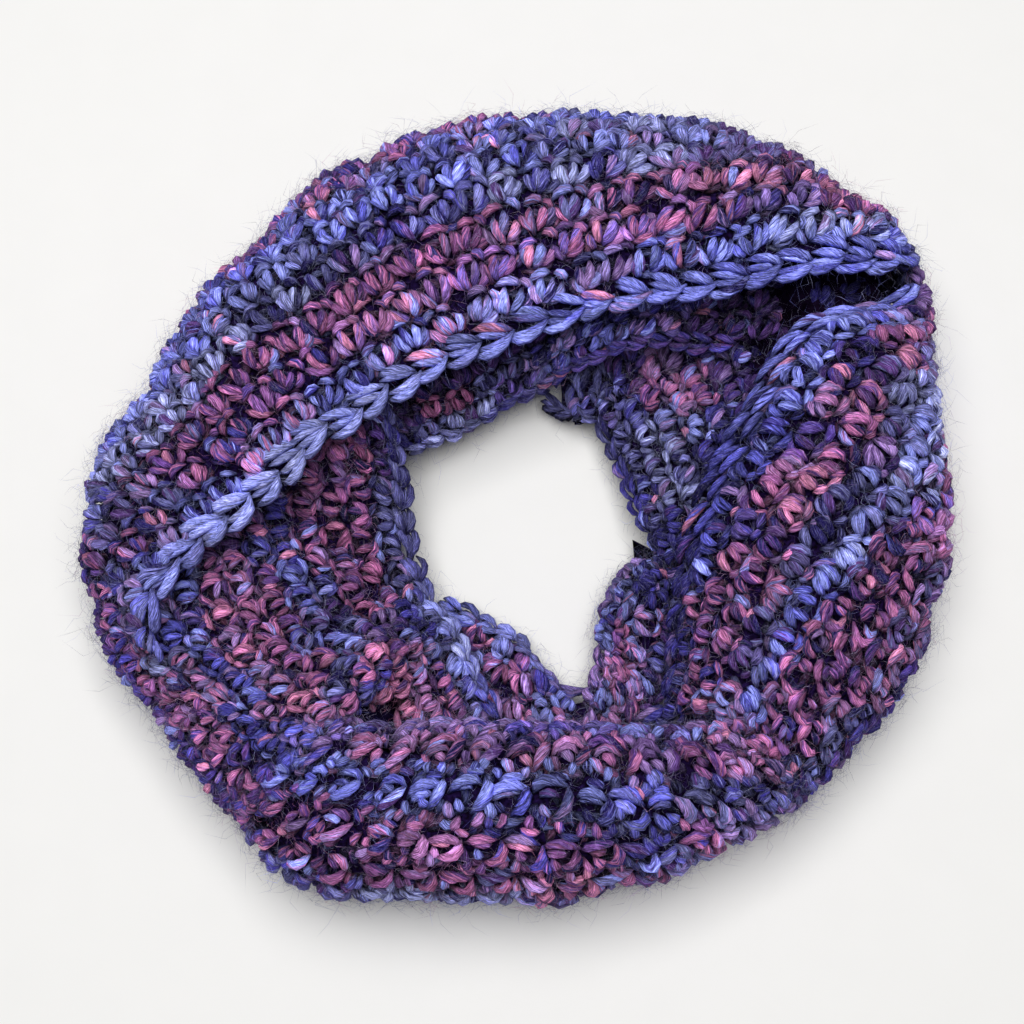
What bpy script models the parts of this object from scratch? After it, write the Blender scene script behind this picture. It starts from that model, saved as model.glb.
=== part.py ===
"""Chunky crocheted infinity scarf, wound double and laid down in a ring.

Each stretch of cloth that shows is a closed wall lofted through sections. A section runs from
the stretch's inner edge, up over its crown and, on the outer stretches, down the side of the
ring to a flat foot on the table. Angles are in degrees round the middle of the neck hole and
lengths are in millimetres; make_object turns them into metres.
"""

import bpy
import numpy as np

MM = 0.001
SCARF = "infinity_scarf"

# Cloth
CLOTH = 6.0  # thickness of the crochet
LAYER_GAP = 0.35  # between a stretch and what lies on it
STEEPEST = 1.5  # most that a slope may stretch the wall's upright thickness
UPRIGHT_POWER = 4  # how fast that stretching fades as the wall leans sideways
LEAN_START = 45.0  # a section that tips further than this leans its wall sideways at the edge

# Outer side of the ring
TUCK = 17.0  # how far the side would curl in below the belly
FOOT_TURN = 58.0  # degrees that the side has turned by the time it meets the table
FOOT_WIDTH = 7.0  # flat of each foot
END_TURN = 50.0  # degrees that the side has turned where it ends on the stretch below
END_LENGTH = 0.6  # what is then left of the foot

# Neck hole's middle, seen from the middle of the ring's box
HOLE_MIDDLE = (2.7, -8.3)

# Widest line of the ring, seen from above
OUTLINE = (
    # angle, radius
    (0, 124),
    (20, 129),
    (32, 138),
    (42, 142),
    (61, 139),
    (80, 131),
    (100, 127),
    (120, 127),
    (139, 119),
    (160, 123),
    (180, 132),
    (200, 129),
    (220, 121),
    (240, 124),
    (255, 116),
    (270, 112),
    (289, 110),
    (309, 111),
    (329, 115),
    (345, 120),
)

# Columns of the outer stretches. The edge is the inner end of a section, the crown its top and
# the rim its widest point. rim_inset is how far the rim lies inside the outline, foot is 1 where
# the cloth goes on to the table and 0 where it ends on the stretch below, and turn is how many
# degrees the cloth has tipped down at its edge.
OUTER_COLUMNS = (
    "edge_angle",
    "edge_radius",
    "edge_height",
    "crown_angle",
    "crown_radius",
    "crown_height",
    "rim_angle",
    "rim_inset",
    "rim_height",
    "foot",
    "turn",
)

# Flap that lies over all the rest, from its left tip round the back to its right tip
TOP_STRETCH = (
    (203.5, 111, 47.5, 202.0, 115, 48.0, 201.0, 8, 44.5, 0, 30),
    (195.0, 107, 49.5, 192.0, 113, 51.0, 190.0, 8, 43.5, 0, 30),
    (189.0, 93, 52, 184.0, 106, 55.0, 180.0, 6, 42.5, 0, 30),
    (182.0, 77, 55, 174.0, 100, 58.0, 169.0, 0, 29, 1, 30),
    (176.0, 68, 56, 164.0, 96, 62.0, 158.0, 0, 29, 1, 30),
    (163.0, 59, 57, 151.0, 92, 65.0, 146.0, 0, 29, 1, 35),
    (150.0, 49, 57, 139.0, 88, 67.0, 134.0, 0, 29, 1, 35),
    (124.0, 44, 57, 122.0, 88, 69.0, 121.0, 0, 29, 1, 35),
    (103.0, 44, 57, 104.0, 88, 70.0, 105.0, 0, 29, 1, 35),
    (86.0, 48, 57, 90.0, 90, 71.0, 92.0, 0, 29, 1, 35),
    (70.5, 56, 58, 76.0, 95, 71.0, 80.0, 0, 29, 1, 35),
    (50.5, 75, 60, 59.0, 107, 70.0, 67.0, 0, 29, 1, 30),
    (41.2, 96, 60, 48.5, 118, 66.0, 56.0, 0, 29, 1, 30),
    (36.0, 114, 57, 40.0, 128, 61.0, 44.5, 0, 29, 1, 30),
    (31.8, 131, 50, 32.7, 134, 50.5, 33.4, 0, 29, 1, 30),
)

# Right side, from the hairpin at the flap's right tip down to the front fold
RIGHT_STRETCH = (
    (31.0, 129, 45, 31.6, 132, 45.5, 32.9, 0, 29, 1, 30),
    (30.6, 121, 47, 27.5, 127, 48.5, 25.5, 0, 29, 1, 30),
    (32.7, 110, 50, 27.0, 119, 53.0, 20.0, 0, 29, 1, 30),
    (34.8, 99, 52, 26.5, 111, 56.5, 14.0, 0, 29, 1, 30),
    (33.4, 85, 52, 22.0, 102, 59.0, 8.0, 0, 29, 1, 30),
    (28.3, 73, 51, 15.0, 95, 60.5, 2.0, 0, 29, 1, 35),
    (21.5, 61.5, 49, 8.0, 90, 61.0, -4.5, 0, 29, 1, 35),
    (11.0, 51, 44, 1.0, 84, 61.0, -10.5, 0, 29, 1, 40),
    (-1.0, 46, 41, -8.0, 80, 60.0, -15.5, 0, 29, 1, 40),
    (-12.0, 44, 38, -16.0, 78, 59.0, -20.5, 0, 29, 1, 40),
    (-25.0, 46, 34, -25.0, 77, 58.0, -27.0, 0, 29, 1, 40),
    (-41.0, 52, 30, -36.0, 79, 57.0, -35.5, 0, 29, 1, 40),
    (-53.0, 63, 26, -46.6, 82, 55.0, -45.3, 0, 29, 1, 40),
    (-55.0, 64.0, 24, -51.3, 73.3, 37.0, -51.0, 0, 29, 1, 30),
    (-57.0, 64.5, 24, -54.2, 73.5, 31.0, -54.0, 0, 29, 1, 30),
    (-60.0, 65.0, 23, -58.5, 70.5, 26.5, -58.0, 0, 29, 1, 25),
    (-62.0, 65.0, 22.5, -61.0, 68.0, 24.0, -61.0, 0, 29, 1, 20),
)
RIGHT_WHOLE = (0, 12)  # rows between which this stretch reaches the table

# Front band, whose inner side rolls over and goes down on the stretches beside the hole
FRONT_STRETCH = (
    (229.0, 79, 46, 228.6, 81, 56.5, 226.5, 0, 29, 1, 60),
    (239.0, 68, 36, 237.5, 79, 60.0, 235.0, 0, 29, 1, 90),
    (254.0, 60, 27, 252.5, 78, 62.5, 250.0, 0, 29, 1, 90),
    (269.0, 58, 22, 268.5, 77, 63.5, 267.0, 0, 29, 1, 90),
    (286.0, 61, 22, 285.0, 78, 63.5, 284.0, 0, 29, 1, 90),
    (299.0, 68, 27, 298.5, 80, 62.0, 297.0, 0, 29, 1, 90),
    (309.5, 77, 36, 309.0, 83, 58.5, 308.0, 0, 29, 1, 90),
    (313.2, 82, 46, 313.2, 83.5, 55.0, 314.5, 0, 29, 1, 60),
)

# Left side, from under the flap to the front fold, and on under the fold's roll
LEFT_STRETCH = (
    (140.0, 52, 38, 138.0, 62, 46.0, 138.0, 5, 29, 1, 30),
    (149.0, 44, 34, 151.0, 76, 46.0, 150.0, 5, 29, 1, 30),
    (160.0, 38, 28, 163.0, 88, 46.0, 162.0, 5, 29, 1, 35),
    (170.0, 36, 24, 172.0, 93, 40, 172.0, 5, 29, 1, 40),
    (179.0, 35, 21, 180.0, 95, 36.5, 179.0, 5, 29, 1, 40),
    (190.0, 33.5, 18, 190.0, 94, 38, 189.0, 0, 29, 1, 40),
    (203.0, 33.5, 18, 202.0, 91, 41.5, 201.0, 0, 29, 1, 40),
    (216.0, 34, 18, 216.0, 86, 53.0, 213.5, 0, 29, 1, 40),
    (228.0, 34, 18, 228.3, 79.5, 56.0, 226.3, 0, 29, 1, 40),
    (232.5, 35, 18, 232.3, 73.6, 45.0, 230.0, 0, 29, 1, 40),
    (237.0, 36, 18, 236.3, 68.8, 36.5, 234.0, 0, 29, 1, 35),
    (241.5, 38, 18, 240.0, 69.0, 31.5, 238.0, 0, 29, 1, 35),
    (250.0, 43, 19, 247.5, 66.5, 28.5, 246.0, 0, 29, 1, 30),
    (258.0, 51, 20, 257.0, 63.0, 23.5, 255.0, 0, 29, 1, 30),
    (262.5, 56, 20, 262.0, 61.0, 20.5, 261.0, 0, 29, 1, 30),
)
LEFT_WHOLE = (4, 8)

# Columns of the stretches beside the hole. The edge is the side that shows, the crest the
# highest part that shows, and the end lies hidden under the next stretch.
INNER_COLUMNS = (
    "edge_angle",
    "edge_radius",
    "edge_height",
    "crown_angle",
    "crown_radius",
    "crown_height",
    "end_angle",
    "end_radius",
    "end_height",
    "turn",
)

# Under the flap, at the back of the hole
BACK_INNER_STRETCH = (
    (155.0, 41, 26, 155.0, 47, 33, 156, 52, 38, 40),
    (139.0, 37, 17, 139.0, 48, 32, 138, 58, 42, 45),
    (125.0, 34, 15, 125.0, 47, 35, 125, 58, 47, 45),
    (112.0, 34, 15, 112.0, 47, 36, 112, 58, 49, 45),
    (100.0, 37, 16, 100.0, 49, 37, 100, 60, 49, 45),
    (87.0, 39.5, 18, 87.5, 52, 37, 88, 64, 49, 45),
    (73.0, 47, 25, 75.0, 60, 40, 77, 72, 49, 45),
    (58.0, 59, 32, 61.0, 72, 43, 64, 85, 50, 40),
    (45.0, 70, 34, 50.0, 84, 40, 54, 98, 43, 40),
    (36.5, 83, 33, 41.0, 96, 36, 45, 109, 37, 40),
)

# Under the back and right stretches, at the right of the hole
RIGHT_INNER_STRETCH = (
    (83.0, 40.5, 12, 83.5, 45, 14, 84, 50, 16, 30),
    (71.0, 38, 12, 72.0, 48, 19, 74, 58, 24, 40),
    (58.0, 38, 12, 60.0, 54, 24, 62, 70, 31, 40),
    (44.0, 33, 12, 47.0, 58, 27, 50, 82, 35, 40),
    (32.0, 31.5, 13, 36.0, 60, 31, 40, 92, 37, 40),
    (19.0, 31, 14, 25.0, 56, 34, 31, 84, 42, 40),
    (5.0, 32, 16, 13.0, 47, 32, 19, 66, 42, 40),
    (-8.0, 35.5, 17, -2.0, 43, 29, 3, 56, 38, 40),
)

# Lowest stretch, at the front of the hole. It lies flat on the left and curls up into a roll
# on the right.
FRONT_INNER_STRETCH = (
    (218.0, 32, 9, 218.0, 38, 12, 218, 46, 14, 20),
    (241.0, 28, 9, 241.0, 36, 12, 241, 54, 15, 30),
    (266.0, 30, 9, 266.0, 42, 13, 266, 68, 17, 40),
    (278.0, 40, 9, 277.0, 50, 14, 276, 73, 17, 50),
    (285.5, 48, 9, 284.5, 56, 15, 285, 75, 13, 60),
    (294.0, 45, 8, 294.0, 53, 20, 296, 74, 10, 80),
    (304.0, 35, 7, 305.0, 43, 25, 308, 70, 10, 90),
    (314.0, 31, 7, 316.0, 39, 27, 320, 62, 12, 90),
    (329.0, 29, 7, 330.0, 37, 27, 331, 56, 12, 90),
    (342.0, 31, 7, 341.0, 38, 24, 341, 53, 12, 90),
    (350.0, 35, 8, 352.0, 39, 14, 354, 47, 12, 70),
    (356.0, 37, 7, 358.0, 40, 8, 360, 45, 9, 60),
)

# Hidden layers
UNDER_GAP = 0.3  # more than LAYER_GAP under the cloth, for their coarser faces
UNDER_LEAST = 12.0  # they stop where the cloth leaves less room than this over the table
UNDER_START = 84.0  # radius at which there is room all the way round
UNDER_HOLE_SIDE = 5.0  # how far they stay back from that at the hole's side
UNDER_HOLE_BINS = 2  # bins on either side that smooth their border at the hole
UNDER_SIDE_BINS = 1  # and at the ring's side
UNDER_HEIGHT = 62.0  # most that they reach where nothing presses on them
POCKET_HEIGHT = 38.0  # and in the pocket between the flap's right tip and the right side
POCKET_ANGLES = (26.0, 48.0)
POCKET_RADIUS = 80.0
UNDER_ROUNDING = ((0, 7.0), (1, 2.0))  # steps in from the hole's side, and how much lower
SIDE_BANDS = ((18.0, 27.0), (9.0, 18.0), (-1.0, 9.0))  # heights of the ring's side, from, to
SIDE_START = 94.0  # the ring's side lies outside this radius
SIDE_GAP = 1.2  # between the hidden layers and the side's wall

# Mesh density
OUTLINE_STEPS = 8
TOP_PER_ROW = 3
RIGHT_PER_ROW = 2
FRONT_PER_ROW = 4
LEFT_PER_ROW = 2
INNER_PER_ROW = 3
EDGE_STEPS = 5  # edge to crown of an outer stretch
SIDE_STEPS = 5  # crown to rim
FOOT_STEPS = 3  # rim to table
CREST_STEPS = 4  # edge to crown of an inner stretch
END_STEPS = 3  # crown to hidden end
END_RISE = 1.3  # over 1, the rise to the hidden end comes late
UNDER_ANGLES = 72
UNDER_RADII = 14

# Bins in which a stretch finds what lies on it
ANGLE_BIN = 3.0
RADIUS_BIN = 3.0
MOST_RADIUS = 160.0
SAMPLES_PER_STEP = 5


def between_rows(rows, per_row):
    """Smooth curve (Catmull-Rom) through a table's rows, per_row steps to a row."""
    rows = np.asarray(rows, float)
    before = np.vstack([2 * rows[0] - rows[1], rows, 2 * rows[-1] - rows[-2]])
    at = np.linspace(0, len(rows) - 1, (len(rows) - 1) * per_row + 1)
    row = np.minimum(at.astype(int), len(rows) - 2)
    t = (at - row)[:, None]
    p0, p1, p2, p3 = before[row], before[row + 1], before[row + 2], before[row + 3]
    bend = 2 * p0 - 5 * p1 + 4 * p2 - p3
    twist = 3 * p1 - p0 - 3 * p2 + p3
    return 0.5 * (2 * p1 + (p2 - p0) * t + bend * t**2 + twist * t**3)


def named_columns(names, table, per_row):
    return dict(zip(names, between_rows(table, per_row).T))


def outline_radius(angle):
    """Radius of the ring's widest line, smooth all the way round."""
    known = np.array(OUTLINE, float)
    turns = np.vstack([known - (360, 0), known, known + (360, 0)])
    fine = between_rows(turns, OUTLINE_STEPS)
    return np.interp(np.mod(angle, 360), fine[:, 0], fine[:, 1])


def in_plan(angle, radius):
    turned = np.radians(angle)
    return np.stack([radius * np.cos(turned), radius * np.sin(turned)], axis=-1)


def edge_to_crown(section, steps):
    """Points and wall directions from each section's edge up to its crown.

    The curve is the part of a quarter ellipse in which the cloth turns from level at the crown
    to turn degrees at the edge.
    """
    edge = in_plan(section["edge_angle"], section["edge_radius"])
    crown = in_plan(section["crown_angle"], section["crown_radius"])
    turn = np.radians(section["turn"])[:, None]
    tipped = turn * np.linspace(1, 0, steps + 1)
    share = np.sin(tipped) / np.sin(turn)
    fall = (1 - np.cos(tipped)) / (1 - np.cos(turn))
    drop = (section["crown_height"] - section["edge_height"])[:, None]
    plan = crown[:, None] + (edge - crown)[:, None] * share[..., None]
    height = section["crown_height"][:, None] - drop * fall
    outward = crown - edge
    outward /= np.linalg.norm(outward, axis=1, keepdims=True)
    # A steep roll keeps its thickness sideways, and a gentle slope keeps it straight down.
    leaning = (np.degrees(turn) - LEAN_START) / (90 - LEAN_START)
    lean = tipped * np.clip(leaning, 0, 1)
    sideways = outward[:, None] * np.sin(lean)[..., None]
    inward = np.concatenate([sideways, -np.cos(lean)[..., None]], axis=-1)
    return np.concatenate([plan, height[..., None]], axis=-1), inward


def crown_to_table(section):
    """Points and wall directions from each section's crown down the ring's side."""
    crown = in_plan(section["crown_angle"], section["crown_radius"])
    rim_radius = outline_radius(section["rim_angle"]) - section["rim_inset"]
    rim = in_plan(section["rim_angle"], rim_radius)
    reach = rim - crown
    outward = in_plan(section["rim_angle"], np.ones(len(rim)))

    # A quarter ellipse to the rim, or less of it where the cloth ends on the stretch below.
    side_turn = np.radians(END_TURN + (90 - END_TURN) * section["foot"])[:, None]
    tipped = side_turn * np.linspace(0, 1, SIDE_STEPS + 1)[1:]
    share = np.sin(tipped) / np.sin(side_turn)
    fall = (1 - np.cos(tipped)) / (1 - np.cos(side_turn))
    rise = (section["crown_height"] - section["rim_height"])[:, None]
    plan = crown[:, None] + reach[:, None] * share[..., None]
    height = section["crown_height"][:, None] - rise * fall
    side = np.concatenate([plan, height[..., None]], axis=-1)

    foot_share = np.linspace(0, 1, FOOT_STEPS + 1)[1:]
    under = np.radians(FOOT_TURN * foot_share)[None] * section["foot"][:, None]
    tucked = TUCK * (1 - np.cos(under))
    foot_plan = rim[:, None] - outward[:, None] * tucked[..., None]
    foot_height = 1 - np.sin(under) / np.sin(np.radians(FOOT_TURN))
    foot_height *= section["rim_height"][:, None]
    # Where the cloth ends on another stretch, its last steps still need a little length.
    foot_height -= (1 - section["foot"][:, None]) * foot_share * END_LENGTH
    foot = np.concatenate([foot_plan, foot_height[..., None]], axis=-1)

    facing = np.concatenate([tipped, np.repeat(side_turn, FOOT_STEPS, axis=1)], axis=1)
    widening = (FOOT_WIDTH / CLOTH - 1) * section["foot"][:, None] * foot_share
    width = np.concatenate([np.ones(tipped.shape), 1 + widening], axis=1)
    sideways = -outward[:, None] * (np.sin(facing) * width)[..., None]
    inward = np.concatenate([sideways, -np.cos(facing)[..., None]], axis=-1)
    return np.concatenate([side, foot], axis=1), inward


def crown_to_end(section, steps):
    """Points and wall directions from an inner stretch's crest on to its hidden end."""
    crown = in_plan(section["crown_angle"], section["crown_radius"])
    end = in_plan(section["end_angle"], section["end_radius"])
    share = np.linspace(0, 1, steps + 1)[1:]
    plan = crown[:, None] + (end - crown)[:, None] * share[None, :, None]
    rise = (section["end_height"] - section["crown_height"])[:, None]
    height = section["crown_height"][:, None] + rise * share**END_RISE
    inward = np.zeros(plan.shape[:2] + (3,))
    inward[..., 2] = -1
    return np.concatenate([plan, height[..., None]], axis=-1), inward


class Room:
    """What the walls made so far leave free below and inside them.

    ceiling holds the lowest height of the walls over each bin of angle and radius, and reach the
    innermost radius of the ring's side in each angle bin and band of height.
    """

    def __init__(self):
        angles = int(360 / ANGLE_BIN)
        self.ceiling = np.full((angles, int(MOST_RADIUS / RADIUS_BIN)), np.inf)
        self.reach = np.full((angles, len(SIDE_BANDS)), MOST_RADIUS)

    def bins_of(self, points):
        angle = np.degrees(np.arctan2(points[..., 1], points[..., 0]))
        radius = np.hypot(points[..., 0], points[..., 1])
        angle_bin = np.floor(angle / ANGLE_BIN).astype(int) % len(self.ceiling)
        return angle_bin, (radius / RADIUS_BIN).astype(int)

    def take(self, outside, inside, kept):
        """Count in a wall, given as the grids of its two faces."""
        for share in (0, 0.5, 1):
            middle = outside * (1 - share) + inside * share
            used = np.where(kept[..., None], middle, np.nan)
            points = finer(used, SAMPLES_PER_STEP).reshape(-1, 3)
            points = points[~np.isnan(points[:, 2])]
            radius = np.hypot(points[:, 0], points[:, 1])
            beside = (radius > SIDE_START) & (points[:, 2] < SIDE_BANDS[0][1])
            angle_bin, radius_bin = self.bins_of(points)
            over = (angle_bin[~beside], radius_bin[~beside])
            np.minimum.at(self.ceiling, over, points[~beside, 2])
            for band, (low, high) in enumerate(SIDE_BANDS):
                level = beside & (points[:, 2] >= low)
                np.minimum.at(self.reach[:, band], angle_bin[level], radius[level])


def finer(grid, times):
    """The same grid of points with straight lines filled in between them."""
    for axis in (0, 1):
        count = grid.shape[axis]
        at = np.linspace(0, count - 1, (count - 1) * times + 1)
        low = np.minimum(at.astype(int), count - 2)
        shape = [1, 1, 1]
        shape[axis] = len(at)
        part = (at - low).reshape(shape)
        onward = np.where(part > 0, np.take(grid, low + 1, axis) * part, 0)
        grid = np.where(part < 1, np.take(grid, low, axis) * (1 - part), 0) + onward
    return grid


def with_neighbours(values, combine):
    """Each value combined with those on either side of it, along each axis in turn."""
    for axis in (0, 1):
        margin = [(1, 1) if axis == i else (0, 0) for i in range(values.ndim)]
        padded = np.pad(values, margin, mode="edge")
        count = values.shape[axis]
        shifted = [np.take(padded, np.arange(count) + i, axis) for i in range(3)]
        values = combine(shifted, axis=0)
    return values


def spread(ceiling):
    """Each bin takes the lowest height of its neighbours. The angles go all the way round."""
    wrapped = np.concatenate([ceiling[-1:], ceiling, ceiling[:1]])
    return with_neighbours(wrapped, np.min)[1:-1]


def press_down(points, columns, room):
    """A stretch dips under what lies on it, from its edge on for so many columns.

    The lowest of the neighbours' room, and then their mean, is nowhere more than a point's own.
    """
    pressed = points[:, :columns]
    free = np.minimum(spread(room.ceiling)[room.bins_of(pressed)] - LAYER_GAP, UNDER_HEIGHT)
    free = with_neighbours(with_neighbours(free, np.min), np.mean)
    pressed[..., 2] = np.minimum(pressed[..., 2], free)


def inner_side(points, inward):
    """The wall's inside. On a slope the upright thickness grows, as a real cloth's does."""
    along = np.gradient(points, axis=1)
    level = np.hypot(along[..., 0], along[..., 1])
    slope = np.hypot(level, along[..., 2]) / np.maximum(level, 1e-6)
    upright = np.abs(inward[..., 2]) ** UPRIGHT_POWER
    thickness = CLOTH * (1 + (np.minimum(slope, STEEPEST) - 1) * upright)
    inside = points + inward * thickness[..., None]
    inside[..., 2] = np.maximum(inside[..., 2], 0)
    return inside


def wall_faces(kept):
    """Faces of a closed wall over the kept points of a grid: outside, inside and borders.

    The two sides are unlike: the inside lies nearer or further with the slope, is cut level on
    the table and widens to a foot, which one even thickness could not give.
    """
    rows, columns = kept.shape
    number = np.arange(rows * columns).reshape(rows, columns)
    quads = np.stack([number[:-1, :-1], number[1:, :-1], number[1:, 1:], number[:-1, 1:]], -1)
    whole = kept[:-1, :-1] & kept[1:, :-1] & kept[1:, 1:] & kept[:-1, 1:]
    quads = quads[whole]
    ends = np.concatenate([quads[:, [i, (i + 1) % 4]] for i in range(4)])
    twin = {(b, a) for a, b in ends.tolist()}
    border = np.array([end for end in ends.tolist() if tuple(end) not in twin])
    under = rows * columns
    rim = np.stack([border[:, 1], border[:, 0], border[:, 0] + under, border[:, 1] + under], -1)
    return np.concatenate([quads, quads[:, ::-1] + under, rim])


def make_object(name, points, faces, colour):
    """One object in metres, with a matt wool material and the box's middle at the origin."""
    used, faces = np.unique(faces, return_inverse=True)
    placed = points[used] + np.append(HOLE_MIDDLE, 0)
    mesh = bpy.data.meshes.new(name)
    mesh.from_pydata((placed * MM).tolist(), [], faces.reshape(-1, 4).tolist())
    mesh.update()
    material = bpy.data.materials.new(name + "_wool")
    material.use_nodes = True
    shader = material.node_tree.nodes["Principled BSDF"]
    shader.inputs["Base Color"].default_value = (*colour, 1)
    shader.inputs["Roughness"].default_value = 0.9
    shader.inputs["Metallic"].default_value = 0
    mesh.materials.append(material)
    made = bpy.data.objects.new(name, mesh)
    bpy.data.collections[SCARF].objects.link(made)
    return made


def add_stretch(name, points, inward, kept, room, colour):
    """Make a stretch's wall, which leaves less room for the stretches below it."""
    inside = inner_side(points, inward)
    both = np.concatenate([points.reshape(-1, 3), inside.reshape(-1, 3)])
    faces = wall_faces(kept)
    row, column = len(points) // 2, EDGE_STEPS
    along = points[row + 1, column] - points[row, column]
    across = points[row, column + 1] - points[row, column]
    if np.cross(along, across)[2] < 0:  # the sections run the other way round the hole
        faces = faces[:, ::-1]
    make_object(name, both, faces, colour)
    room.take(points, inside, kept)


def add_outer_stretch(name, table, per_row, room, colour, whole=None, pressed=False):
    """A stretch over the ring's crown. Outside its whole rows it ends at the crown."""
    section = named_columns(OUTER_COLUMNS, table, per_row)
    section["foot"] = np.clip(section["foot"], 0, 1)
    slope, slope_inward = edge_to_crown(section, EDGE_STEPS)
    side, side_inward = crown_to_table(section)
    points = np.concatenate([slope, side], axis=1)
    inward = np.concatenate([slope_inward, side_inward], axis=1)
    kept = np.ones(points.shape[:2], bool)
    if whole:
        kept[: whole[0] * per_row, EDGE_STEPS + 1 :] = False
        kept[whole[1] * per_row + 1 :, EDGE_STEPS + 1 :] = False
    if pressed:
        press_down(points, EDGE_STEPS + 1, room)
    add_stretch(name, points, inward, kept, room, colour)


def add_inner_stretch(name, table, room, colour):
    """A stretch beside the hole, from the edge that shows to its hidden end."""
    section = named_columns(INNER_COLUMNS, table, INNER_PER_ROW)
    slope, slope_inward = edge_to_crown(section, CREST_STEPS)
    end, end_inward = crown_to_end(section, END_STEPS)
    points = np.concatenate([slope, end], axis=1)
    inward = np.concatenate([slope_inward, end_inward], axis=1)
    press_down(points, points.shape[1], room)
    kept = np.ones(points.shape[:2], bool)
    add_stretch(name, points, inward, kept, room, colour)


def innermost(roomy):
    """Radius to which each angle bin's run of room goes in from UNDER_START."""
    start = int(UNDER_START / RADIUS_BIN)
    end = np.zeros((len(roomy), 1), bool)
    steps = np.argmin(np.concatenate([roomy[:, start::-1], end], axis=1), axis=1)
    return (start - steps + 1) * RADIUS_BIN


def most_careful(values, careful, bins):
    """The most careful of so many bins on either side, and then their mean."""
    for combine in (careful, np.mean):
        values = combine([np.roll(values, turn, 0) for turn in range(-bins, bins + 1)], axis=0)
    return values


def add_under_layers(room, colour):
    """All hidden layers as one ring, flat underneath, that fills what the cloth leaves."""
    ceiling = spread(room.ceiling)
    # What lies over the ring, and the pocket, count as covered, and the neck hole doesn't.
    in_pocket = np.arange(ceiling.shape[1]) * RADIUS_BIN > POCKET_RADIUS
    roomy = (ceiling > UNDER_LEAST + LAYER_GAP) & (np.isfinite(room.ceiling) | in_pocket)
    bin_angle = ANGLE_BIN * (np.arange(len(ceiling)) + 0.5)
    inner = most_careful(innermost(roomy), np.max, UNDER_HOLE_BINS) + UNDER_HOLE_SIDE
    side = most_careful(room.reach, np.min, UNDER_SIDE_BINS) - SIDE_GAP
    angle = np.linspace(0, 360, UNDER_ANGLES, endpoint=False)
    inner = np.interp(angle, bin_angle, inner, period=360)
    side = np.array([np.interp(angle, bin_angle, level, period=360) for level in side.T]).T

    share = np.linspace(0, 1, UNDER_RADII + 1)
    radius = inner[:, None] + (side[:, :1] - inner[:, None]) * share
    top = np.append(in_plan(angle[:, None], radius), np.zeros(radius.shape + (1,)), axis=-1)
    open_above = (angle > POCKET_ANGLES[0]) & (angle < POCKET_ANGLES[1])
    most = np.where(open_above, POCKET_HEIGHT, UNDER_HEIGHT)[:, None]
    free = np.minimum(spread(ceiling)[room.bins_of(top)] - LAYER_GAP - UNDER_GAP, most)
    around = np.concatenate([free[-1:], free, free[:1]])
    top[..., 2] = with_neighbours(around, np.min)[1:-1]
    for step, lower in UNDER_ROUNDING:
        top[:, step, 2] -= lower
    top[..., 2] = np.maximum(top[..., 2], UNDER_LEAST / 3)

    flank = np.append(in_plan(angle[:, None], side), np.zeros(side.shape + (1,)), axis=-1)
    flank[..., 2] = [max(low, 0) for low, high in SIDE_BANDS]
    base = top[:, [0]] * (1, 1, 0)
    points = np.concatenate([top, flank, base], axis=1)
    rows, columns = points.shape[:2]
    number = np.arange(rows * columns).reshape(rows, columns)
    onward = np.roll(number, -1, axis=0)
    around = np.roll(number, -1, axis=1)
    both = np.roll(onward, -1, axis=1)
    faces = np.stack([number, around, both, onward], axis=-1).reshape(-1, 4)
    make_object("under_layers", points.reshape(-1, 3), faces, colour)


def main():
    for old in list(bpy.data.objects):
        bpy.data.objects.remove(old)
    collection = bpy.data.collections.new(SCARF)
    bpy.context.scene.collection.children.link(collection)

    periwinkle = (0.12, 0.12, 0.42)
    raspberry = (0.28, 0.07, 0.16)
    plum = (0.13, 0.05, 0.17)
    indigo = (0.05, 0.05, 0.22)

    # From the top layer down, because each stretch dips under those above it.
    room = Room()
    add_outer_stretch("top_stretch", TOP_STRETCH, TOP_PER_ROW, room, periwinkle)
    add_outer_stretch(
        "left_stretch", LEFT_STRETCH, LEFT_PER_ROW, room, plum, LEFT_WHOLE, pressed=True
    )
    add_outer_stretch("front_stretch", FRONT_STRETCH, FRONT_PER_ROW, room, raspberry)
    add_outer_stretch(
        "right_stretch", RIGHT_STRETCH, RIGHT_PER_ROW, room, plum, RIGHT_WHOLE
    )
    add_inner_stretch("back_inner_stretch", BACK_INNER_STRETCH, room, indigo)
    add_inner_stretch("right_inner_stretch", RIGHT_INNER_STRETCH, room, periwinkle)
    add_inner_stretch("front_inner_stretch", FRONT_INNER_STRETCH, room, indigo)
    add_under_layers(room, raspberry)


main()
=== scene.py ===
"""Looks of an infinity scarf in chunky crocheted wool, wound double and laid down in a ring.

Every stretch of cloth is worked out from the same tables as its solid. A backing shell follows it
5 mm under its surface, nearly black as painted shade in the gaps between stitches. On it lie the
stitches, each of a few plump strands of two-ply yarn, a chain along the edge that shows, and loose
hairs; the strands' colours carry painted shade low down and a painted highlight on top. Table
angles are in degrees round the middle of the neck hole and table lengths in millimetres.
"""

import collections
import functools
import math

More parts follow.
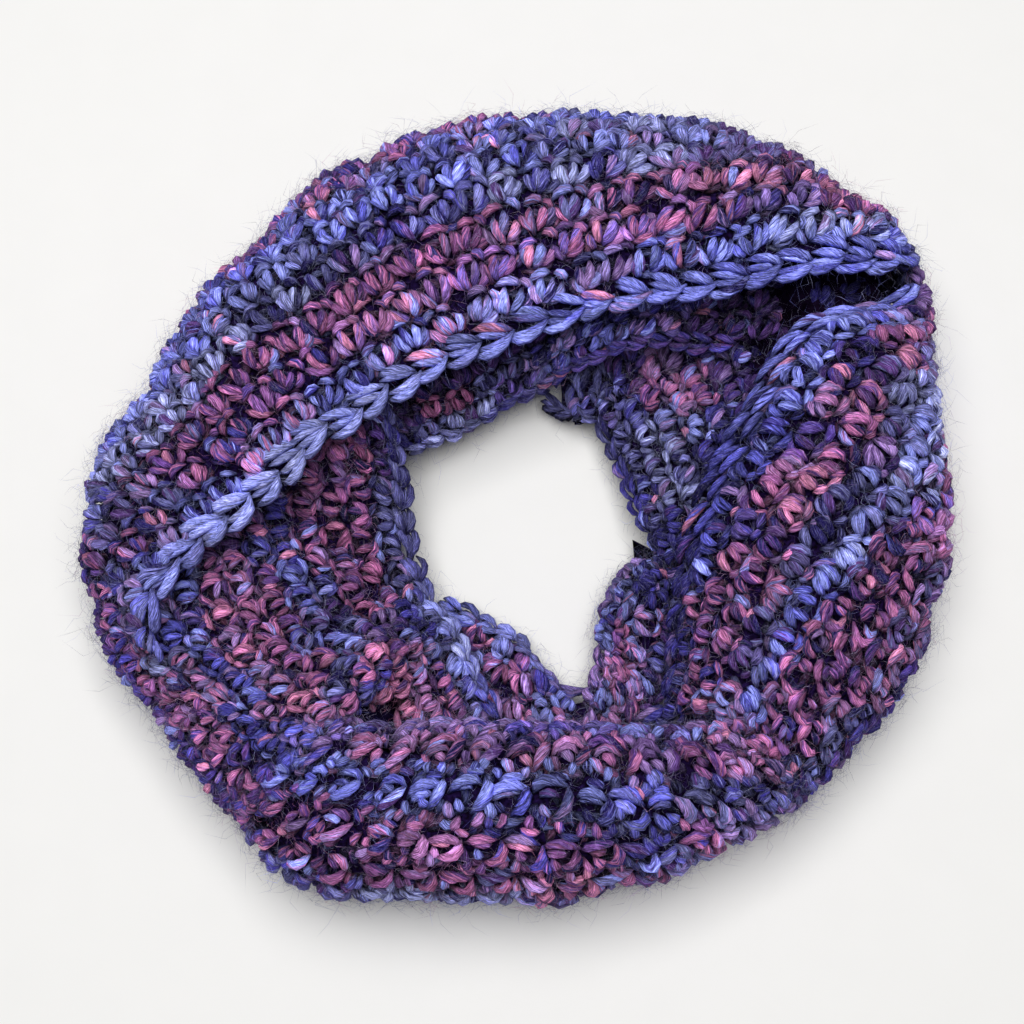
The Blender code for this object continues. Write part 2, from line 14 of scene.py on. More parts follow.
import bpy
import numpy as np
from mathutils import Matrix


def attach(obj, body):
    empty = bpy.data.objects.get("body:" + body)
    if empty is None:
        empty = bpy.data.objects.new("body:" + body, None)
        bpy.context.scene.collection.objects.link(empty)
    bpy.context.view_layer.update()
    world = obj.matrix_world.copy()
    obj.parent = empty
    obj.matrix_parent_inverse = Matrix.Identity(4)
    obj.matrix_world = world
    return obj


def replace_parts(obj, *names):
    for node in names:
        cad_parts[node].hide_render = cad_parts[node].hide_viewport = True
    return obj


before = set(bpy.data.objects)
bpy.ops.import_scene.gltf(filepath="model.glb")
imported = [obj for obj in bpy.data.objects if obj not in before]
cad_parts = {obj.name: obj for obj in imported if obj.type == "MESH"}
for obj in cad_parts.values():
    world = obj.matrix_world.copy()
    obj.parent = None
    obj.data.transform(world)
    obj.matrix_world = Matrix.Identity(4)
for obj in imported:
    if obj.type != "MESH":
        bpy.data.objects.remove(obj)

bl_info = {
    "name": "Crocheted infinity scarf",
    "version": (1, 0, 0),
    "blender": (4, 5, 0),
    "location": "View3D > Sidebar > Scarf",
    "description": "Builds the stitches, hairs and stage of a wound infinity scarf on its solids",
    "category": "Object",
}

MM = 0.001

# Cloth, as in the solids
CLOTH = 6.0
LAYER_GAP = 0.35
STEEPEST = 1.5
UPRIGHT_POWER = 4
LEAN_START = 45.0
TUCK = 17.0
FOOT_TURN = 58.0
FOOT_WIDTH = 7.0
END_TURN = 50.0
END_LENGTH = 0.6
END_RISE = 1.3
HOLE_MIDDLE = (2.7, -8.3)

OUTLINE = (
    # angle, radius
    (0, 124),
    (20, 129),
    (32, 138),
    (42, 142),
    (61, 139),
    (80, 131),
    (100, 127),
    (120, 127),
    (139, 119),
    (160, 123),
    (180, 132),
    (200, 129),
    (220, 121),
    (240, 124),
    (255, 116),
    (270, 112),
    (289, 110),
    (309, 111),
    (329, 115),
    (345, 120),
)

SLOPE_COLUMNS = (
    *("edge_angle", "edge_radius", "edge_height"),
    *("crown_angle", "crown_radius", "crown_height"),
)
OUTER_COLUMNS = (*SLOPE_COLUMNS, "rim_angle", "rim_inset", "rim_height", "foot", "turn")
TOP_STRETCH = (
    (203.5, 111, 47.5, 202.0, 115, 48.0, 201.0, 8, 44.5, 0, 30),
    (195.0, 107, 49.5, 192.0, 113, 51.0, 190.0, 8, 43.5, 0, 30),
    (189.0, 93, 52, 184.0, 106, 55.0, 180.0, 6, 42.5, 0, 30),
    (182.0, 77, 55, 174.0, 100, 58.0, 169.0, 0, 29, 1, 30),
    (176.0, 68, 56, 164.0, 96, 62.0, 158.0, 0, 29, 1, 30),
    (163.0, 59, 57, 151.0, 92, 65.0, 146.0, 0, 29, 1, 35),
    (150.0, 49, 57, 139.0, 88, 67.0, 134.0, 0, 29, 1, 35),
    (124.0, 44, 57, 122.0, 88, 69.0, 121.0, 0, 29, 1, 35),
    (103.0, 44, 57, 104.0, 88, 70.0, 105.0, 0, 29, 1, 35),
    (86.0, 48, 57, 90.0, 90, 71.0, 92.0, 0, 29, 1, 35),
    (70.5, 56, 58, 76.0, 95, 71.0, 80.0, 0, 29, 1, 35),
    (50.5, 75, 60, 59.0, 107, 70.0, 67.0, 0, 29, 1, 30),
    (41.2, 96, 60, 48.5, 118, 66.0, 56.0, 0, 29, 1, 30),
    (36.0, 114, 57, 40.0, 128, 61.0, 44.5, 0, 29, 1, 30),
    (31.8, 131, 50, 32.7, 134, 50.5, 33.4, 0, 29, 1, 30),
)
RIGHT_STRETCH = (
    (31.0, 129, 45, 31.6, 132, 45.5, 32.9, 0, 29, 1, 30),
    (30.6, 121, 47, 27.5, 127, 48.5, 25.5, 0, 29, 1, 30),
    (32.7, 110, 50, 27.0, 119, 53.0, 20.0, 0, 29, 1, 30),
    (34.8, 99, 52, 26.5, 111, 56.5, 14.0, 0, 29, 1, 30),
    (33.4, 85, 52, 22.0, 102, 59.0, 8.0, 0, 29, 1, 30),
    (28.3, 73, 51, 15.0, 95, 60.5, 2.0, 0, 29, 1, 35),
    (21.5, 61.5, 49, 8.0, 90, 61.0, -4.5, 0, 29, 1, 35),
    (11.0, 51, 44, 1.0, 84, 61.0, -10.5, 0, 29, 1, 40),
    (-1.0, 46, 41, -8.0, 80, 60.0, -15.5, 0, 29, 1, 40),
    (-12.0, 44, 38, -16.0, 78, 59.0, -20.5, 0, 29, 1, 40),
    (-25.0, 46, 34, -25.0, 77, 58.0, -27.0, 0, 29, 1, 40),
    (-41.0, 52, 30, -36.0, 79, 57.0, -35.5, 0, 29, 1, 40),
    (-53.0, 63, 26, -46.6, 82, 55.0, -45.3, 0, 29, 1, 40),
    (-55.0, 64.0, 24, -51.3, 73.3, 37.0, -51.0, 0, 29, 1, 30),
    (-57.0, 64.5, 24, -54.2, 73.5, 31.0, -54.0, 0, 29, 1, 30),
    (-60.0, 65.0, 23, -58.5, 70.5, 26.5, -58.0, 0, 29, 1, 25),
    (-62.0, 65.0, 22.5, -61.0, 68.0, 24.0, -61.0, 0, 29, 1, 20),
)
RIGHT_WHOLE = (0, 12)
FRONT_STRETCH = (
    (229.0, 79, 46, 228.6, 81, 56.5, 226.5, 0, 29, 1, 60),
    (239.0, 68, 36, 237.5, 79, 60.0, 235.0, 0, 29, 1, 90),
    (254.0, 60, 27, 252.5, 78, 62.5, 250.0, 0, 29, 1, 90),
    (269.0, 58, 22, 268.5, 77, 63.5, 267.0, 0, 29, 1, 90),
    (286.0, 61, 22, 285.0, 78, 63.5, 284.0, 0, 29, 1, 90),
    (299.0, 68, 27, 298.5, 80, 62.0, 297.0, 0, 29, 1, 90),
    (309.5, 77, 36, 309.0, 83, 58.5, 308.0, 0, 29, 1, 90),
    (313.2, 82, 46, 313.2, 83.5, 55.0, 314.5, 0, 29, 1, 60),
)
LEFT_STRETCH = (
    (140.0, 52, 38, 138.0, 62, 46.0, 138.0, 5, 29, 1, 30),
    (149.0, 44, 34, 151.0, 76, 46.0, 150.0, 5, 29, 1, 30),
    (160.0, 38, 28, 163.0, 88, 46.0, 162.0, 5, 29, 1, 35),
    (170.0, 36, 24, 172.0, 93, 40, 172.0, 5, 29, 1, 40),
    (179.0, 35, 21, 180.0, 95, 36.5, 179.0, 5, 29, 1, 40),
    (190.0, 33.5, 18, 190.0, 94, 38, 189.0, 0, 29, 1, 40),
    (203.0, 33.5, 18, 202.0, 91, 41.5, 201.0, 0, 29, 1, 40),
    (216.0, 34, 18, 216.0, 86, 53.0, 213.5, 0, 29, 1, 40),
    (228.0, 34, 18, 228.3, 79.5, 56.0, 226.3, 0, 29, 1, 40),
    (232.5, 35, 18, 232.3, 73.6, 45.0, 230.0, 0, 29, 1, 40),
    (237.0, 36, 18, 236.3, 68.8, 36.5, 234.0, 0, 29, 1, 35),
    (241.5, 38, 18, 240.0, 69.0, 31.5, 238.0, 0, 29, 1, 35),
    (250.0, 43, 19, 247.5, 66.5, 28.5, 246.0, 0, 29, 1, 30),
    (258.0, 51, 20, 257.0, 63.0, 23.5, 255.0, 0, 29, 1, 30),
    (262.5, 56, 20, 262.0, 61.0, 20.5, 261.0, 0, 29, 1, 30),
)
LEFT_WHOLE = (4, 8)

INNER_COLUMNS = (*SLOPE_COLUMNS, "end_angle", "end_radius", "end_height", "turn")
BACK_INNER_STRETCH = (
    (155.0, 41, 26, 155.0, 47, 33, 156, 52, 38, 40),
    (139.0, 37, 17, 139.0, 48, 32, 138, 58, 42, 45),
    (125.0, 34, 15, 125.0, 47, 35, 125, 58, 47, 45),
    (112.0, 34, 15, 112.0, 47, 36, 112, 58, 49, 45),
    (100.0, 37, 16, 100.0, 49, 37, 100, 60, 49, 45),
    (87.0, 39.5, 18, 87.5, 52, 37, 88, 64, 49, 45),
    (73.0, 47, 25, 75.0, 60, 40, 77, 72, 49, 45),
    (58.0, 59, 32, 61.0, 72, 43, 64, 85, 50, 40),
    (45.0, 70, 34, 50.0, 84, 40, 54, 98, 43, 40),
    (36.5, 83, 33, 41.0, 96, 36, 45, 109, 37, 40),
)
RIGHT_INNER_STRETCH = (
    (83.0, 40.5, 12, 83.5, 45, 14, 84, 50, 16, 30),
    (71.0, 38, 12, 72.0, 48, 19, 74, 58, 24, 40),
    (58.0, 38, 12, 60.0, 54, 24, 62, 70, 31, 40),
    (44.0, 33, 12, 47.0, 58, 27, 50, 82, 35, 40),
    (32.0, 31.5, 13, 36.0, 60, 31, 40, 92, 37, 40),
    (19.0, 31, 14, 25.0, 56, 34, 31, 84, 42, 40),
    (5.0, 32, 16, 13.0, 47, 32, 19, 66, 42, 40),
    (-8.0, 35.5, 17, -2.0, 43, 29, 3, 56, 38, 40),
)
FRONT_INNER_STRETCH = (
    (218.0, 32, 9, 218.0, 38, 12, 218, 46, 14, 20),
    (241.0, 28, 9, 241.0, 36, 12, 241, 54, 15, 30),
    (266.0, 30, 9, 266.0, 42, 13, 266, 68, 17, 40),
    (278.0, 40, 9, 277.0, 50, 14, 276, 73, 17, 50),
    (285.5, 48, 9, 284.5, 56, 15, 285, 75, 13, 60),
    (294.0, 45, 8, 294.0, 53, 20, 296, 74, 10, 80),
    (304.0, 35, 7, 305.0, 43, 25, 308, 70, 10, 90),
    (314.0, 31, 7, 316.0, 39, 27, 320, 62, 12, 90),
    (329.0, 29, 7, 330.0, 37, 27, 331, 56, 12, 90),
    (342.0, 31, 7, 341.0, 38, 24, 341, 53, 12, 90),
    (350.0, 35, 8, 352.0, 39, 14, 354, 47, 12, 70),
    (356.0, 37, 7, 358.0, 40, 8, 360, 45, 9, 60),
)

# Hidden layers, as in the solids
UNDER_GAP = 0.3
UNDER_LEAST = 12.0
UNDER_START = 84.0
UNDER_HOLE_SIDE = 5.0
UNDER_HOLE_BINS = 2
UNDER_SIDE_BINS = 1
UNDER_HEIGHT = 62.0
POCKET_HEIGHT = 38.0
POCKET_ANGLES = (26.0, 48.0)
POCKET_RADIUS = 80.0
UNDER_ROUNDING = ((0, 7.0), (1, 2.0))
SIDE_BANDS = ((18.0, 27.0), (9.0, 18.0), (-1.0, 9.0))
SIDE_START = 94.0
SIDE_GAP = 1.2

# Steps of the surfaces and bins of the room under them, as in the solids
OUTLINE_STEPS = 8
EDGE_STEPS = 5
SIDE_STEPS = 5
FOOT_STEPS = 3
CREST_STEPS = 4
END_STEPS = 3
INNER_PER_ROW = 3
UNDER_ANGLES = 72
UNDER_RADII = 14
ANGLE_BIN = 3.0
RADIUS_BIN = 3.0
MOST_RADIUS = 160.0
SAMPLES_PER_STEP = 5

# Sections and columns of the hidden layers' top that show in the pocket at the back
POCKET_SECTIONS = slice(3, 12)
POCKET_COLUMNS = slice(3, None)

# The hidden layer at the bottom of the crevice in front: a cone's angles, its inner and outer
# radius, and its heights there
CREVICE_ANGLES = (-36.0, -66.0)
CREVICE_RADII = (54.0, 84.0)
CREVICE_HEIGHTS = (9.0, 15.0)

# Relief on the hidden layers: finer steps, bumps all round, their pitch outwards, and height
RELIEF_STEPS = 3
RELIEF_ROUND = 64
RELIEF_PITCH = 9.4
RELIEF_HEIGHT = 1.0

# How red the hidden layers are: the angle where it is most, its width and the share of the plum
# yarn there, then the share of the yarn elsewhere, and the stripes' radius and angle to a radian.
# Both shares are below one: painted shade on layers that lie under the others
RED_ANGLE, RED_WIDTH, RED_SHARE = 36.0, 12.0, 0.2
HIDDEN_SHADE_SHARE = 0.3
STRIPE_RADIUS, STRIPE_ANGLE = 3.0, 9.0

# From the top layer down: table, steps to a row, whole rows, pressed
OUTER_STRETCHES = {
    "top_stretch": (TOP_STRETCH, 3, None, False),
    "left_stretch": (LEFT_STRETCH, 2, LEFT_WHOLE, True),
    "front_stretch": (FRONT_STRETCH, 4, None, False),
    "right_stretch": (RIGHT_STRETCH, 2, RIGHT_WHOLE, False),
}
INNER_STRETCHES = {
    "back_inner_stretch": BACK_INNER_STRETCH,
    "right_inner_stretch": RIGHT_INNER_STRETCH,
    "front_inner_stretch": FRONT_INNER_STRETCH,
}

# Yarn colours, as they look in soft white light
YARNS = {
    "ice": "#AEB2E0",
    "periwinkle": "#7279BC",
    "blue": "#46479A",
    "indigo": "#322D78",
    "navy": "#171240",
    "violet": "#5C4890",
    "orchid": "#8A649C",
    "salmon": "#AC6A8A",
    "rose": "#92547C",
    "wine": "#5A2848",
    "mauve": "#7A6092",
    "plum": "#41265A",
    "pewter": "#8488B4",
    "slate": "#585888",
}
# Colour of pale stray fibres, and the tint of the painted highlight on the strands
FROST_AND_HIGHLIGHT = "#D8DAF8"

# Colours that single strands take in place of their row's, and how often
STRAYS = {"navy": 0.15, "plum": 0.08, "periwinkle": 0.07, "mauve": 0.06, "salmon": 0.04}

# Painted shade and highlight: how much of its colour a strand keeps, from so far below the surface,
# where it is painted darker as shade, to so far above it, where it is painted brighter as highlight
DEEPEST, HIGHEST = -4.8, -0.1
DEEP_SHADE, HIGH_SHADE = 0.05, 1.95

# How yarn colours pass along a row: how blurred a run's start is, as a share of the row, how often
# a stitch takes a neighbouring run's colours, and how often its two plies change places
RUN_BLUR, CHAIN_BLUR = 0.035, 0.02
RUN_STRAYS, PLY_SWAPS = 0.16, 0.2

# A strand: steps along it, sides, its height as a share of its width, how much it narrows to its
# ends and by which power, and how far its ends round out, in radii
STRAND_STEPS = 4
STRAND_SIDES = 5
FLAT = 0.82
NARROWING, NARROWING_POWER = 0.72, 2.6
ROUNDING = 0.7

# Unevenness as standard deviations: turning as a share of the stitch's, size and width as shares
# of theirs, sideways and up in millimetres, a row's places along and across in millimetres, the
# share of the second ply, and the logarithm of the shade
SPREAD = {
    "turn": 0.6,
    "size": 0.07,
    "width": 0.08,
    "sideways": 0.45,
    "up": 0.3,
    "along": 0.5,
    "across": 0.35,
    "ply": 0.4,
    "shade": 0.28,
}
MEAN_SHADE = -0.02
PLY_CONTRAST = 1.2

# Strands stay if their length on the surface is between these shares of their own, and if the
# surface's normals at their ends and middle are as alike as this cosine
SHORTEST, LONGEST = 0.55, 1.8
LEAST_ALIKE = 0.55

# The chain along an edge: how far in its row is read, how unevenly its links are turned, in
# degrees, how often they take a stray colour, and how far an inner stretch's stays from its ends
CHAIN_ROW = 2.0
CHAIN_TURNED = 3.0
CHAIN_CALM = 0.35
END_CLEAR = 3.2

# At a tip that shows, stitches get smaller over END_FADE millimetres, down to END_SIZE
BARE_TIPS = ("top_stretch",)
END_FADE = 9.0
END_SIZE = 0.7

# Stitches added before a stretch's first section, where they lie lower than SIDE_HEIGHT
MORE_AT_START = {"top_stretch": 2}
SIDE_HEIGHT = 42.0

# Stitches stop this far under an upper stretch, and this share of a row short of their own end.
# Where rows draw together they get smaller by a power of the bow
UNDER_MARGIN = 12.0
END_SHARE = 0.1
BOW_SIZE = 0.6

# The backing: grid steps to one of its own, how far in from the edges it starts, how far from
# both ends. Then the least heights of its points, of the stitches' and of the hairs'
BACKING_STEP = 3
BACKING_INSET = 1.6
BACKING_ENDS = {"front_inner_stretch": (9.0, 2.0)}
OTHER_BACKING_ENDS = (4.5, 4.5)
LEAST_HEIGHT, STITCH_HEIGHT, HAIR_HEIGHT = 0.3, 0.2, 0.1

# Hairs: how steeply they rise (a gamma curve's shape and scale, and its limits), how unevenly
# long they are (and the limits), how high their roots lie, how they curl and how pale they are
HAIR_LIFT, HAIR_LIFTS = (1.5, 0.26), (0.02, 1.3)
HAIR_SPREAD, HAIR_LENGTHS = 0.5, (0.3, 2.6)
HAIR_ROOT = (0.4, 1.5)
HAIR_CURL = 0.3
HAIR_PALE, HAIR_PALEST = 0.04, 0.5

# The wool: how far the plies wind in one turn, how far apart lots of yarn lie in the noise, and its
# streaks: how drawn out along the strand, how slanting, how fine round it, and how detailed
PLY_TURN = 20.0
LOTS_APART = 60.0
STREAKS = {"threads": (0.12, 0.5, 9.0, 1.0), "fibres": (0.45, 1.3, 30.0, 3.0)}
# Nearly black colours of the backing: painted shade in the gaps between stitches
BACKING_SHADE_COLOURS = ("#08020F", "#26164A")

# The stage, in metres
LIGHT_PLACE = (-0.05, 0.10, 1.25)
LIGHT_SIDE = 0.9
FLOOR_HALF = 1.6
FLOOR_CORNERS = ((-1, -1), (1, -1), (1, 1), (-1, 1))
WORLD_COLOUR = "#F4F6FF"
SENSOR = 36

# Soft troughs and ridges: angle and radius of both ends, width, and height
CREASES = (
    # The flap
    (196, 96, 183, 112, 7.0, -2.6),
    (172, 78, 158, 104, 6.0, 1.8),
    (150, 62, 147, 98, 5.0, -2.2),
    (131, 70, 118, 92, 8.0, 1.6),
    (109, 62, 112, 104, 5.0, -2.0),
    (97, 78, 76, 92, 8.0, -1.6),
    (68, 88, 71, 118, 5.0, -2.4),
    (60, 100, 46, 118, 6.0, 1.8),
    # The right side
    (27, 104, 12, 116, 6.0, -2.0),
    (14, 74, 4, 112, 5.0, -2.4),
    (-4, 62, -22, 84, 6.0, 1.8),
    (-20, 70, -24, 110, 5.0, -2.2),
    (-33, 84, -44, 104, 6.0, -1.8),
    # The front fold
    (238, 70, 241, 108, 5.0, -2.2),
    (257, 74, 250, 104, 6.0, 1.6),
    (266, 70, 268, 110, 5.0, -2.4),
    (281, 72, 288, 106, 7.0, 1.4),
    (300, 78, 297, 106, 5.0, -2.2),
    # The left side
    (204, 52, 219, 84, 6.0, -2.6),
    (190, 46, 181, 70, 5.0, -1.8),
    (222, 60, 232, 100, 6.0, 1.8),
    (212, 92, 206, 122, 6.0, -2.4),
    # Down the ring's sides and back
    (352, 106, 346, 126, 6.0, -2.6),
    (322, 100, 327, 122, 7.0, -2.2),
    (286, 100, 282, 118, 6.0, -2.4),
    (254, 102, 259, 120, 7.0, 2.0),
    (231, 108, 226, 126, 6.0, -2.8),
    (187, 114, 191, 134, 7.0, -2.6),
    (163, 108, 160, 128, 6.0, -2.4),
    (141, 104, 145, 122, 8.0, 2.0),
    (117, 108, 113, 130, 6.0, -2.8),
    (88, 110, 92, 132, 7.0, -2.2),
    (63, 118, 58, 142, 6.0, -2.6),
    (38, 124, 41, 142, 6.0, 2.0),
)

# How far the stitches stand out from the ring's side: angle, millimetres
SIDE_MOVES = (
    (0, 0),
    (15, -1.5),
    (30, 2),
    (45, -6),
    (60, -3),
    (75, -6),
    (90, -3),
    (120, -5),
    (150, -1.5),
    (165, -2),
    (180, 4),
    (195, -0.5),
    (210, -2.5),
    (228, 2),
    (240, -0.5),
    (258, -4.5),
    (270, -0.5),
    (300, 0.5),
    (330, 3),
    (350, 2),
)
MOVE_START, MOVE_END = 92.0, 110.0

# The fold where the flap's edge turns back into the right stretch's
FOLD_SECTIONS = 5
FOLD_BULGE = 4.0

# One more section of the right inner stretch, under the right stretch
RIGHT_INNER_ONWARD = (-20.0, 41, 14, -15.0, 47, 25, -10, 57, 34, 40)

# How each stretch is crocheted: its stitches from the edge outwards, the last of them to the end,
# and those along the edge with the factor on their size; the factor on the size of the others, the
# height of a row, its pitch, how wide the strip along the edge is and how far in it starts, and
# how unevenly strands are turned, in degrees
Crochet = collections.namedtuple(
    "Crochet", "stitches chain chain_size size row pitch strip inset turned"
)
CROCHET = {
    "top_stretch": Crochet(("fan",), "braid", 1.05, 1.05, 10.8, 9.8, 6.6, 1.0, 13.0),
    "left_stretch": Crochet(("fan",), "braid", 0.75, 0.85, 8.1, 8.0, 4.2, -0.6, 22.0),
    "front_stretch": Crochet(("pillar",), "braid", 1.0, 1.1, 17.0, 10.7, 6.6, 4.9, 9.0),
    "right_stretch": Crochet(
        ("fan",) * 5 + ("scale",), "rope", 1.05, 1.08, 10.8, 10.2, 5.6, 0.0, 15.0
    ),
    "back_inner_stretch": Crochet(("fan",), "braid", 0.68, 0.9, 8.6, 8.6, 3.6, 1.2, 16.0),
    "right_inner_stretch": Crochet(("fan",), "braid", 0.68, 0.9, 8.6, 8.6, 3.6, 0.2, 16.0),
    "front_inner_stretch": Crochet(("fan",), "braid", 0.68, 0.9, 8.6, 8.6, 3.6, 0.2, 16.0),
    "pocket": Crochet(("fan",), None, 0.0, 1.0, 9.5, 9.4, 0.0, 0.0, 20.0),
    "crevice": Crochet(("fan",), None, 0.0, 1.0, 9.5, 9.4, 0.0, 0.0, 20.0),
}

# How rows draw together or spread: share of the way along, which is measured BOW_COLUMN millimetres
# from the edge, and factor on the rows' distance from the edge there
STRAIGHT_ROWS = ((0, 1), (1, 1))
BOW_COLUMN = 30
BOWS = {
    "top_stretch": ((0, 0.75), (0.25, 0.85), (0.5, 0.97), (0.75, 1.06), (1, 1.0)),
    "right_stretch": (
        (0.3, 0.98),
        (0.45, 1.03),
        (0.55, 0.96),
        (0.62, 0.88),
        (0.7, 0.8),
        (0.85, 0.7),
    ),
    "front_stretch": (
        (0, 0.62),
        (0.12, 0.73),
        (0.32, 0.91),
        (0.5, 1.0),
        (0.66, 1.07),
        (0.8, 0.98),
        (0.9, 0.89),
        (1, 0.75),
    ),
}

